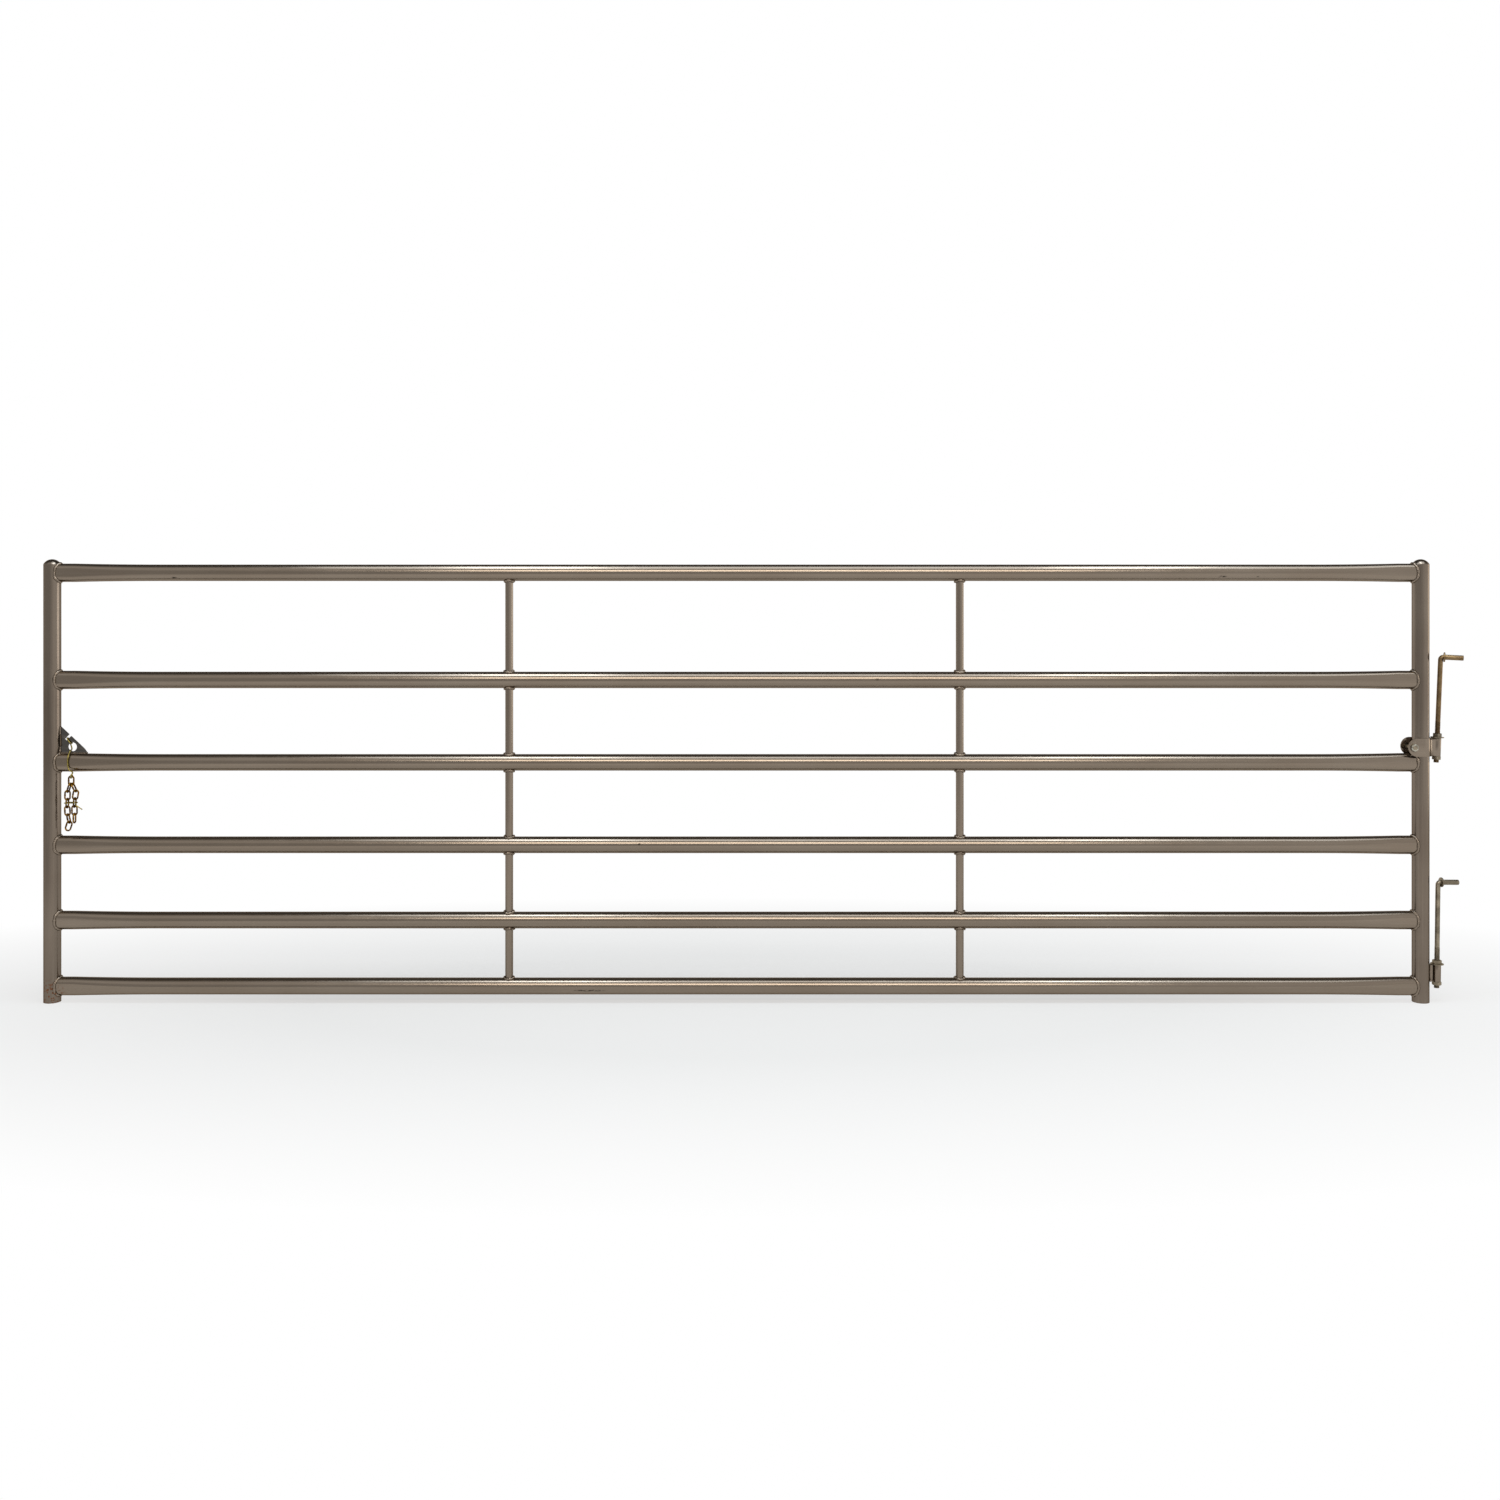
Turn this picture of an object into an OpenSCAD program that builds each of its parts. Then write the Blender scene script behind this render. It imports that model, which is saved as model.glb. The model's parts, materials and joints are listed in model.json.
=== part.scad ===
// Field gate: six tube rails between two capped posts, braced by two columns of short tubes.
// A chain latch hangs at one post, and two hook-bolt hinges sit on the other.
// X runs along the leaf towards the hinge side, the front faces -Y, and Z is up.
// The origin is the centre of the hinge post's open foot.

/* [Leaf] */
// Length over the outer faces of the two posts
leaf_length = 4267.2; // [2400:0.1:4900]
// Outside diameter of the post and rail tube
tube_d = 50.8; // [46:0.1:56]
// Wall of the post and rail tube
tube_wall = 1.65; // [1:0.05:3]
// Height of the post tubes without their caps
post_height = 1347; // [1340:1:1500]
// Gap that the weld beads fill where one piece meets another
weld_gap = 0.3; // [0.2:0.05:0.8]

/* [Post caps] */
// Height of a cap's dome above its post
cap_rise = 16; // [8:0.5:24]

/* [Rails] */
// Height of the lowest rail's centre line
bottom_rail_z = 48; // [36:0.5:90]
// Step from the first rail to the second, counted from the ground
rail_step_1 = 203.2; // [150:0.1:260]
// Step from the second rail to the third
rail_step_2 = 231.8; // [180:0.1:280]
// Step from the third rail to the fourth
rail_step_3 = 254; // [220:0.1:300]
// Step from the fourth rail to the fifth
rail_step_4 = 254; // [200:0.1:300]
// Step from the fifth rail to the top one
rail_step_5 = 330.2; // [200:0.1:345]
// Depth that a rail's end is pressed down to
rail_end_depth = 40.4; // [34:0.1:45]
// Distance from a post's axis over which the rail keeps its pressed section
press_length = 70; // [50:1:100]
// Distance from a post's axis at which the rail is round again
round_from = 340; // [200:5:500]

/* [Braces] */
// Outside diameter of the brace tube
brace_d = 24; // [18:0.1:32]
// Wall of the brace tube
brace_wall = 1.5; // [1:0.05:3]
// Distance of the latch-side braces from the latch post's axis
latch_brace_reach = 1408; // [600:1:1700]
// Distance of the hinge-side braces from the hinge post's axis
hinge_brace_reach = 1420; // [600:1:1700]

/* [Latch plate] */
// Thickness of the plate
plate_t = 5.5; // [3:0.1:8]
// Length of the plate along its rail
plate_length = 83.5; // [75:0.1:110]
// Height of the plate up the post
plate_height = 83; // [75:0.1:110]
// Height of the clipped toe at the plate's far end
toe_height = 13.9; // [5:0.1:18]
// Distance that the toe leans back
toe_setback = 9.9; // [2:0.1:14]
// Diameter of the chain hole
latch_hole_d = 27.4; // [22:0.1:30]
// Distance of the chain hole from the post
latch_hole_x = 37.3; // [33:0.1:42]
// Height of the chain hole above the rail
latch_hole_z = 19.4; // [17.5:0.1:22]
// Width of the chain slot
latch_slot_w = 8; // [6:0.1:10]
// Depth of the chain slot from the sloping edge
latch_slot_depth = 20; // [14:0.1:22]
// Distance of the slot from the top of the sloping edge
latch_slot_from_top = 40.6; // [36:0.1:44]
// Depth of the gap left unwelded between the plate and the post
relief_depth = 2.5; // [1:0.1:4]
// Height at which that gap begins
relief_low = 22.5; // [15:0.1:30]
// Height at which that gap ends
relief_high = 56; // [40:0.1:65]

/* [Upper hinge] */
// Distance of the hinge axis from the post's axis
hinge_offset = 50; // [48:0.1:60]
// Height of the clamped strap's centre
upper_hinge_z = 785; // [780:0.5:930]
// Width of the strap, which stands upright
strap_height = 56; // [40:0.5:60]
// Thickness of the strap
strap_t = 3.2; // [2:0.1:4]
// Radial clearance of the strap on the post
strap_clearance = 0.3; // [0.2:0.05:0.6]
// Distance that the strap's ears reach past the post's axis
ear_reach = 50; // [47:0.1:60]
// Width over the strap where it narrows to the barrel
neck_width = 18; // [14:0.1:22]
// Angle round the post at which the strap leaves it for the neck
neck_angle = 38; // [30:1:48]
// Lean of the upper barrel and hook towards the hinge side
upper_lean = 2.5; // [0:0.1:3]
// Distance of the clamp bolt from the post's axis
clamp_bolt_x = 32.8; // [32:0.1:36]
// Diameter of the clamp bolt
clamp_bolt_d = 12; // [8:0.1:12.7]
// Diametral clearance of the bolt in the ears
clamp_bolt_clearance = 0.6; // [0.3:0.1:1.5]
// Width across the flats of the clamp nut and bolt head
clamp_nut_af = 20; // [16:0.1:22]
// Height of the clamp nut
clamp_nut_h = 9.5; // [6:0.1:12]
// Height of the clamp bolt's head
clamp_head_h = 7.5; // [5:0.1:10]
// Length of the bolt that shows past the nut
clamp_bolt_end = 2.5; // [1:0.1:8]

/* [Barrels] */
// Outside diameter of a barrel
barrel_d = 23.6; // [22:0.1:26]
// Bore of a barrel
barrel_bore_d = 17; // [16.6:0.1:18.5]

/* [Lower hinge] */
// Height of the lower barrel's centre
lower_hinge_z = 88.7; // [80:0.1:180]
// Height of the lower barrel
lower_barrel_h = 52; // [40:0.5:60]
// Lean of the lower barrel and hook towards the hinge side
lower_lean = 0.8; // [0:0.1:2]
// Thickness of the web between the lower barrel and the post
web_t = 6.4; // [4:0.1:9]
// Distance of the web's middle behind the leaf's middle plane
web_back = 5; // [0:0.1:7]
// Reach of the welded pad past the post's surface
pad_reach = 7; // [3:0.1:10]
// Thickness of the welded pad
pad_t = 14; // [8:0.1:18]
// Height of the pad and the web
pad_height = 52; // [40:0.5:70]

/* [Hook bolts] */
// Length of a hook's leg from its end to the pin's axis
hook_leg = 325; // [250:1:360]
// Diameter over the leg's thread
hook_thread_d = 15.9; // [15:0.1:16.2]
// Diameter of the leg's plain shank
hook_shank_d = 14.4; // [13:0.1:15]
// Length of the leg's thread
hook_thread_length = 125; // [100:1:180]
// Length of the leg below its barrel
hook_stub = 20; // [15:0.5:30]
// Bend radius of the leg at its middle
hook_bend_r = 8.2; // [7.6:0.1:12]
// Diameter of the pin
hook_pin_d = 15.9; // [14:0.1:17]
// Reach of the pin's tip from the leg's axis
hook_pin_reach = 64; // [50:0.5:90]
// Chamfer at the pin's tip and the leg's end
hook_chamfer = 1.5; // [0.5:0.1:3]
// Diameter of the collar at the pin's root
collar_d = 29.5; // [22:0.1:32]
// Thickness of the collar
collar_t = 4; // [2:0.1:6]
// Width across the flats of a hook's nut
hook_nut_af = 23.8; // [20:0.1:26]
// Height of a hook's nut
hook_nut_h = 11; // [8:0.1:14]
// Diameter of a hook's washer
hook_washer_d = 39; // [30:0.1:44]
// Thickness of a hook's washer
hook_washer_t = 2.6; // [1.5:0.1:4]
// Gap between a hook's washer or nut and the barrel that it bears on
seat_gap = 0.2; // [0.1:0.05:0.5]
// Radial clearance of a nut or washer on the thread
thread_clearance = 0.1; // [0.05:0.05:0.4]
// Turn of the upper pin from the hinge side, towards the front when negative
upper_turn = -20; // [-90:1:90]
// Turn of the lower pin from the hinge side, towards the front when negative
lower_turn = 3; // [-90:1:90]

/* [Chain] */
// Diameter of the chain's wire
link_wire_d = 4.8; // [4:0.1:5]
// Pitch of the chain, which is a link's inner length
link_pitch = 24; // [22:0.1:26]
// Inner width of a link
link_inner_w = 10.8; // [10.6:0.1:12]
// Gap between two linked wires
link_gap = 0.2; // [0.1:0.05:0.3]
// Distance of the top link from the latch post's axis
chain_x = 70.6; // [66:0.1:90]
// Distance of the chain in front of the leaf's middle plane
chain_front = 27; // [26:0.1:40]
// Drop of the top link's centre below its rail's centre line
chain_drop = 53.4; // [50:0.1:60]

/* [Tie wires] */
// Diameter of the wire that hangs the chain on the plate
tie_d = 4; // [2.5:0.1:4.2]
// Diameter of the wire that gathers the two strands
bundle_tie_d = 3; // [2:0.1:3.5]
// Gap between a tie wire and what it goes round
tie_gap = 0.3; // [0.2:0.05:0.6]
// Length of the gathering wire's loose tail
bundle_tail = 31; // [15:1:40]

/* [Hidden] */
$fn = 64;
paint = [0.43, 0.39, 0.345];
bare_zinc = [0.62, 0.6, 0.56];
gold_zinc = [0.58, 0.48, 0.3];
// Overrun of every cut
cut = 1;
tube_r = tube_d / 2;
post_span = leaf_length - tube_d;
rail_steps = [rail_step_1, rail_step_2, rail_step_3, rail_step_4, rail_step_5];
rail_names = ["bottom_rail", "second_rail", "third_rail", "fourth_rail", "fifth_rail", "top_rail"];
rail_count = len(rail_names);
function rail_z(i) = i == 0 ? bottom_rail_z : rail_z(i - 1) + rail_steps[i - 1];
// The latch plate and the upper hinge sit on this rail, counted from 0 at the ground
latch_rail = 3;
latch_rail_z = rail_z(latch_rail);

// Pressed rail ends: a flat oval with the tube's own girth
rail_sides = 24;
end_half = rail_end_depth / 2;
end_rise = PI * (tube_r - end_half) / 2;
end_top = end_half + end_rise;
// Places between the pressed end and the round tube, as shares of the way
outer_station_shares = [0, 0.15, 0.33, 0.56, 1];
inner_station_shares = [0, 0.33, 1];
function press(share) = pow(1 - share, 2);
function rail_point(t, amount, inset) =
    let (r = tube_r - inset, half = end_half - inset, scale = r + (half - r) * amount)
    [scale * cos(t), scale * sin(t) + amount * end_rise * sign(sin(t))];
function cope(y) = sqrt(pow(tube_r + weld_gap, 2) - y * y);
function rail_ring(side, share, inset) = [for (i = [0:rail_sides - 1])
    let (yz = rail_point(360 * i / rail_sides, press(share), inset))
    let (reach = press_length + share * (round_from - press_length))
    [side < 0 ? reach - post_span : -reach, yz.x, yz.y]];
function coped_ring(side, inset) = [for (i = [0:rail_sides - 1])
    let (yz = rail_point(360 * i / rail_sides, 1, inset))
    [side < 0 ? cope(yz.x) - post_span : -cope(yz.x), yz.x, yz.y]];
function reversed(list) = [for (i = [len(list) - 1:-1:0]) list[i]];
function rail_rings(shares, inset) = concat(
    [coped_ring(-1, inset)],
    [for (share = shares) rail_ring(-1, share, inset)],
    [for (share = reversed(shares)) rail_ring(1, share, inset)],
    [coped_ring(1, inset)]);
function flat(rings) = [for (ring = rings) for (p = ring) p];
// Triangles of a skin of rings, facing out or in, whose first point has the given number
function skin(count, sides, first, outward) = [for (i = [0:count - 2], j = [0:sides - 1])
    let (a = first + i * sides + j, b = first + i * sides + (j + 1) % sides, c = b + sides, d = a + sides)
    each outward ? [[a, d, c], [a, c, b]] : [[a, c, d], [a, b, c]]];
function rim(outer, inner, sides, forward) = [for (j = [0:sides - 1])
    let (a = outer + j, b = outer + (j + 1) % sides, c = inner + (j + 1) % sides, d = inner + j)
    each forward ? [[a, b, c], [a, c, d]] : [[a, c, b], [a, d, c]]];

// Tubes swept along a route
wire_sides = 8;
// Points worked out on each stretch of a route
route_steps = 3;
function unit(v) = v / norm(v);
function curve_point(p, q, r, s, t) =
    0.5 * (2 * q + (r - p) * t + (2 * p - 5 * q + 4 * r - s) * t * t + (3 * q - p - 3 * r + s) * t * t * t);
function smooth(route) = let (last = len(route) - 1) concat([for (i = [0:last - 1], k = [0:route_steps - 1])
    curve_point(route[max(i - 1, 0)], route[i], route[i + 1], route[min(i + 2, last)], k / route_steps)],
    [route[last]]);
function heading(path, i) = unit(path[min(i + 1, len(path) - 1)] - path[max(i - 1, 0)]);
function square_to(v, along) = unit(v - (v * along) * along);
function side_vectors(path, v, i = 0) = i == len(path) ? [] :
    let (next = square_to(v, heading(path, i))) concat([next], side_vectors(path, next, i + 1));
module wire(route, d) {
    path = smooth(route);
    sides = side_vectors(path, [0.3, 0.5, 0.8]);
    rings = [for (i = [0:len(path) - 1]) let (other = cross(heading(path, i), sides[i]))
        [for (k = [0:wire_sides - 1]) let (t = -360 * k / wire_sides)
            path[i] + d / 2 * (sides[i] * cos(t) - other * sin(t))]];
    last = (len(path) - 1) * wire_sides;
    polyhedron(flat(rings), concat(
        skin(len(path), wire_sides, 0, true),
        [[for (k = [0:wire_sides - 1]) k]],
        [[for (k = [wire_sides - 1:-1:0]) last + k]]));
}

// Latch plate places, measured from the post's surface and the rail's top
plate_left = tube_r + weld_gap - post_span;
plate_low = latch_rail_z + end_top + weld_gap;
slope_end = [plate_length - toe_setback, toe_height];
slope_way = unit(slope_end - [0, plate_height]);
slot_mouth = [0, plate_height] + slope_way * latch_slot_from_top;
slot_way = [slope_way.y, -slope_way.x];

// Hinge places
strap_in = tube_r + strap_clearance;
strap_out = strap_in + strap_t;
neck_half = neck_width / 2;
neck_end = hinge_offset - barrel_bore_d / 2 - strap_t;
clamp_hole_d = clamp_bolt_d + clamp_bolt_clearance;

// Chain places: the top link faces the front, and each strand turns a quarter from link to link
link_bend_r = (link_inner_w + link_wire_d) / 2;
link_leg = link_pitch - link_inner_w;
link_half = link_pitch / 2 + link_wire_d;
bar_span = link_pitch + link_wire_d;
nested_span = link_pitch - link_wire_d - 2 * link_gap;
// The two first bars lie side by side in the round of the top link
bar_side = link_wire_d / 2 + link_gap;
bar_room = link_inner_w / 2 - link_wire_d / 2 - link_gap;
bar_sink = sqrt(max(0, pow(bar_room, 2) - pow(bar_side, 2)));
chain_y = -chain_front;
top_link_z = latch_rail_z - chain_drop;
strand_top_z = top_link_z - link_leg / 2 - bar_sink;
// Lean of each link from straight down, towards the hinge side when positive
left_leans = [-17, -2, -1, 3, 13, -18];
right_leans = [25, -10, -3, 0, 0];
function edge_on(i) = i % 2 == 0;
function strand_point(start, leans, i) = i == 0 ? start :
    strand_point(start, leans, i - 1)
    + (edge_on(i - 1) ? bar_span : nested_span) * [sin(leans[i - 1]), -cos(leans[i - 1])];
function link_centre(start, leans, i) =
    (strand_point(start, leans, i) + strand_point(start, leans, i + 1)) / 2;
left_start = [chain_x - bar_side, strand_top_z];
right_start = [chain_x + bar_side, strand_top_z];

// Route of the tie wire: from its hook in the top link, up the front of the rail, through the hole,
// behind the plate to the slot, through it, back into the hole and up behind the plate
hook_z = top_link_z + link_pitch / 2 - tie_d / 2 - tie_gap;
tie_reach = tie_d / 2 + tie_gap;
plate_face = plate_t / 2 + tie_reach;
rail_face = end_half + tie_reach;
hole_x = plate_left + post_span + latch_hole_x;
hole_z = plate_low + latch_hole_z;
hole_room = latch_hole_d / 2 - tie_reach;
hole_side_share = 0.36;
hole_rise_share = 0.93;
slot_rest_share = 0.6;
slot_rest = slot_mouth + slot_way * latch_slot_depth * slot_rest_share;
slot_x = plate_left + post_span + slot_rest.x;
slot_z = plate_low + slot_rest.y;
hole_left = hole_x - hole_room * hole_side_share;
hole_up = hole_z + hole_room * hole_rise_share;
hole_down = hole_z - hole_room * hole_rise_share;
// Half of the wire's straight rest in the top link, and the rise of its hook beside the link
rest_half = link_wire_d;
hook_rise = 2 * tie_d;
tie_route = [
    [chain_x - tie_d / 2, chain_y + 2 * rest_half, hook_z + hook_rise],
    [chain_x, chain_y + 1.6 * rest_half, hook_z + tie_d],
    [chain_x, chain_y + rest_half, hook_z],
    [chain_x, chain_y - rest_half, hook_z],
    [chain_x + tie_d / 4, chain_y - 1.6 * rest_half, hook_z + tie_d],
    [chain_x + tie_d, chain_y - 1.4 * rest_half, hook_z + 1.3 * hook_rise],
    [chain_x + tie_d, -rail_face - tie_d, latch_rail_z - end_top],
    [hole_left + tie_d, -rail_face - tie_d / 2, latch_rail_z - end_half],
    [hole_left - tie_d / 4, -rail_face - tie_d / 4, latch_rail_z],
    [hole_left, -rail_face, latch_rail_z + end_half],
    [hole_left, -(rail_face + plate_face) / 2, plate_low + tie_d / 2],
    [hole_left, -plate_face, hole_down + tie_d / 8],
    [hole_left, 0, hole_down],
    [hole_left - tie_d / 4, plate_face, hole_down + tie_d],
    [(hole_left + slot_x) / 2, plate_face + tie_d / 2, (hole_down + slot_z) / 2],
    [slot_x, plate_face, slot_z - tie_d / 4],
    [slot_x, 0, slot_z],
    [slot_x + tie_d / 4, -plate_face, slot_z - tie_d / 4],
    [(slot_x + hole_left) / 2, -plate_face - tie_d / 2, (slot_z + hole_up) / 2],
    [hole_left, -plate_face + tie_gap, hole_up + tie_d / 4],
    [hole_left + tie_d / 4, 0, hole_up],
    [hole_left, plate_face - tie_gap, hole_up + tie_d / 4],
    [hole_left - tie_d / 2, plate_face + tie_d / 2, hole_up + 1.5 * tie_d],
];

// Route of the gathering wire, level round the two edge-on links, with its tail to the front right
bundle_reach = bundle_tie_d / 2 + tie_gap;
left_edge = link_centre(left_start, left_leans, 2);
right_edge = link_centre(right_start, right_leans, 2);
bundle_z = (left_edge.y + right_edge.y) / 2;
bundle_left = left_edge.x - link_wire_d / 2 - bundle_reach;
bundle_right = right_edge.x + link_wire_d / 2 + bundle_reach;
bundle_half = link_bend_r + link_wire_d / 2 + bundle_reach;
bundle_corner = link_wire_d / 2;
tail_fall_share = 0.62;
tail_reach_share = 0.78;
bundle_route = [
    [bundle_right + bundle_tie_d, chain_y - bundle_half + bundle_tie_d / 2, bundle_z + 1.6 * bundle_tie_d],
    [bundle_right - bundle_corner, chain_y - bundle_half - bundle_tie_d / 4, bundle_z + bundle_tie_d / 2],
    [chain_x, chain_y - bundle_half, bundle_z + bundle_tie_d / 4],
    [bundle_left + bundle_corner, chain_y - bundle_half, bundle_z],
    [bundle_left - bundle_tie_d / 4, chain_y - link_bend_r, bundle_z],
    [bundle_left - bundle_tie_d / 4, chain_y + link_bend_r, bundle_z],
    [bundle_left + bundle_corner, chain_y + bundle_half, bundle_z],
    [chain_x, chain_y + bundle_half, bundle_z],
    [bundle_right - bundle_corner, chain_y + bundle_half, bundle_z],
    [bundle_right + bundle_tie_d / 4, chain_y + link_bend_r, bundle_z],
    [bundle_right + bundle_tie_d / 4, chain_y - link_bend_r / 2, bundle_z - bundle_tie_d / 2],
    [bundle_right + bundle_tie_d, chain_y - bundle_half, bundle_z - bundle_tie_d],
    [bundle_right + bundle_tail * tail_reach_share, chain_y - bundle_half,
        bundle_z - bundle_tail * tail_fall_share],
];

brace_names = [for (side = ["latch", "hinge"], i = [1:rail_count - 1]) str(side, "_brace_", i)];
left_names = [for (i = [1:len(left_leans)]) str("left_chain_link_", i)];
right_names = [for (i = [1:len(right_leans)]) str("right_chain_link_", i)];
hook_pieces = ["hook", "top_nut", "washer", "bottom_nut"];
hook_names = [for (level = ["upper", "lower"], piece = hook_pieces) str(level, "_", piece)];

// Open-ended post tube
module post() {
    color(paint) difference() {
        cylinder(h = post_height, r = tube_r);
        translate([0, 0, -cut]) cylinder(h = post_height + 2 * cut, r = tube_r - tube_wall);
    }
}

// Hollow domed cap, whose rim is as wide as the post's wall
module post_cap() {
    dome_r = (tube_r * tube_r + cap_rise * cap_rise) / (2 * cap_rise);
    hollow_r = norm([tube_r - tube_wall, dome_r - cap_rise]);
    color(paint) translate([0, 0, post_height]) intersection() {
        translate([0, 0, cap_rise - dome_r]) difference() {
            sphere(r = dome_r);
            sphere(r = hollow_r);
        }
        cylinder(h = cap_rise + cut, r = tube_d);
    }
}

// Hollow rail, round along its length and pressed to a flat oval at both ends, which fit the posts
module rail(i) {
    outer = rail_rings(outer_station_shares, 0);
    inner = rail_rings(inner_station_shares, tube_wall);
    first_inner = len(outer) * rail_sides;
    last_outer = first_inner - rail_sides;
    last_inner = first_inner + (len(inner) - 1) * rail_sides;
    color(paint) translate([0, 0, rail_z(i)]) polyhedron(flat(concat(outer, inner)), concat(
        skin(len(outer), rail_sides, 0, true),
        skin(len(inner), rail_sides, first_inner, false),
        rim(0, first_inner, rail_sides, true),
        rim(last_outer, last_inner, rail_sides, false)));
}

// Short upright tube between two rails, saddled at both ends
module brace(x, i) {
    low = rail_z(i);
    high = rail_z(i + 1);
    color(paint) difference() {
        translate([x, 0, low]) cylinder(h = high - low, d = brace_d);
        translate([x, 0, low - cut]) cylinder(h = high - low + 2 * cut, d = brace_d - 2 * brace_wall);
        for (z = [low, high])
            translate([x - brace_d, 0, z]) rotate([0, 90, 0]) cylinder(h = 2 * brace_d, r = tube_r + weld_gap);
    }
}

// Corner plate with a chain hole and a slot in its sloping edge
module latch_plate() {
    color(paint) translate([plate_left, plate_t / 2, plate_low]) rotate([90, 0, 0])
        linear_extrude(height = plate_t) difference() {
            polygon([[0, 0], [plate_length, 0], slope_end, [0, plate_height]]);
            translate([latch_hole_x, latch_hole_z]) circle(d = latch_hole_d);
            translate(slot_mouth) rotate(atan2(slot_way.y, slot_way.x))
                translate([-latch_slot_depth, -latch_slot_w / 2])
                    square([2 * latch_slot_depth, latch_slot_w]);
            translate([-cut, relief_low]) square([relief_depth + cut, relief_high - relief_low]);
        }
}

// Frame of a barrel: its middle on the hinge axis, leaning towards the hinge side
module at_barrel(z, lean) {
    translate([hinge_offset, 0, z]) rotate([0, lean, 0]) children();
}

// Room above and below a barrel for the nuts and the washer that turn on it
module seat_cuts(barrel_h) {
    for (side = [-1, 1])
        translate([0, 0, side * (barrel_h + barrel_d) / 2])
            cylinder(h = barrel_d, d = hook_washer_d + 2 * cut, center = true);
}

module strap_outline() {
    difference() {
        union() {
            circle(r = strap_out);
            translate([-ear_reach, -strap_out]) square([ear_reach, 2 * strap_out]);
            polygon([
                strap_out * [cos(neck_angle), sin(neck_angle)], [neck_end, neck_half], [hinge_offset, neck_half],
                [hinge_offset, -neck_half], [neck_end, -neck_half], strap_out * [cos(neck_angle), -sin(neck_angle)],
            ]);
        }
        circle(r = strap_in);
        translate([-ear_reach - cut, -strap_in]) square([ear_reach + cut, 2 * strap_in]);
        polygon([
            strap_in * [cos(neck_angle), sin(neck_angle)], [neck_end, neck_half - strap_t],
            [neck_end, strap_t - neck_half], strap_in * [cos(neck_angle), -sin(neck_angle)], [0, 0],
        ]);
    }
}

// Strap round the post, with two round-ended ears for the clamp bolt and a barrel for the hook
module upper_hinge_strap() {
    round_r = strap_height / 2;
    color(paint) difference() {
        union() {
            intersection() {
                translate([0, 0, upper_hinge_z - round_r])
                    linear_extrude(height = strap_height) strap_outline();
                translate([0, strap_out + cut, upper_hinge_z]) rotate([90, 0, 0])
                    linear_extrude(height = 2 * (strap_out + cut)) union() {
                        translate([round_r - ear_reach, 0]) circle(r = round_r);
                        translate([round_r - ear_reach, -round_r])
                            square([ear_reach - round_r + hinge_offset, strap_height]);
                    }
            }
            at_barrel(upper_hinge_z, upper_lean)
                cylinder(h = strap_height, d = barrel_d, center = true);
        }
        at_barrel(upper_hinge_z, upper_lean) {
            cylinder(h = strap_height + 2 * barrel_d, d = barrel_bore_d, center = true);
            seat_cuts(strap_height);
        }
        translate([-clamp_bolt_x, 0, upper_hinge_z]) rotate([90, 0, 0])
            cylinder(h = 2 * (strap_out + cut), d = clamp_hole_d, center = true);
    }
}

// Hexagonal prism standing on the origin
module hexagon(af, h) {
    cylinder(h = h, d = af / cos(30), $fn = 6);
}

// Clamp bolt, whose head is behind the leaf
module clamp_bolt() {
    shank = 2 * strap_out + clamp_nut_h + clamp_bolt_end;
    color(gold_zinc) translate([-clamp_bolt_x, strap_out, upper_hinge_z]) rotate([90, 0, 0]) {
        cylinder(h = shank, d = clamp_bolt_d);
        translate([0, 0, -clamp_head_h]) hexagon(clamp_nut_af, clamp_head_h);
    }
}

// Clamp nut on the front ear
module clamp_nut() {
    color(bare_zinc) translate([-clamp_bolt_x, -strap_out, upper_hinge_z]) rotate([90, 0, 0]) difference() {
        hexagon(clamp_nut_af, clamp_nut_h);
        translate([0, 0, -cut]) cylinder(h = clamp_nut_h + 2 * cut, d = clamp_bolt_d + 2 * thread_clearance);
    }
}

// Barrel on a web, with a pad that is welded along the post
module lower_hinge_barrel() {
    color(paint) difference() {
        union() {
            at_barrel(lower_hinge_z, lower_lean) cylinder(h = lower_barrel_h, d = barrel_d, center = true);
            translate([0, web_back - web_t / 2, lower_hinge_z - lower_barrel_h / 2])
                cube([hinge_offset, web_t, lower_barrel_h]);
            translate([0, -pad_t / 2, lower_hinge_z - pad_height / 2])
                cube([tube_r + pad_reach, pad_t, pad_height]);
        }
        translate([0, 0, lower_hinge_z - pad_height]) cylinder(h = 2 * pad_height, r = tube_r + weld_gap);
        at_barrel(lower_hinge_z, lower_lean) {
            cylinder(h = lower_barrel_h + 2 * barrel_d, d = barrel_bore_d, center = true);
            seat_cuts(lower_barrel_h);
        }
    }
}

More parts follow.
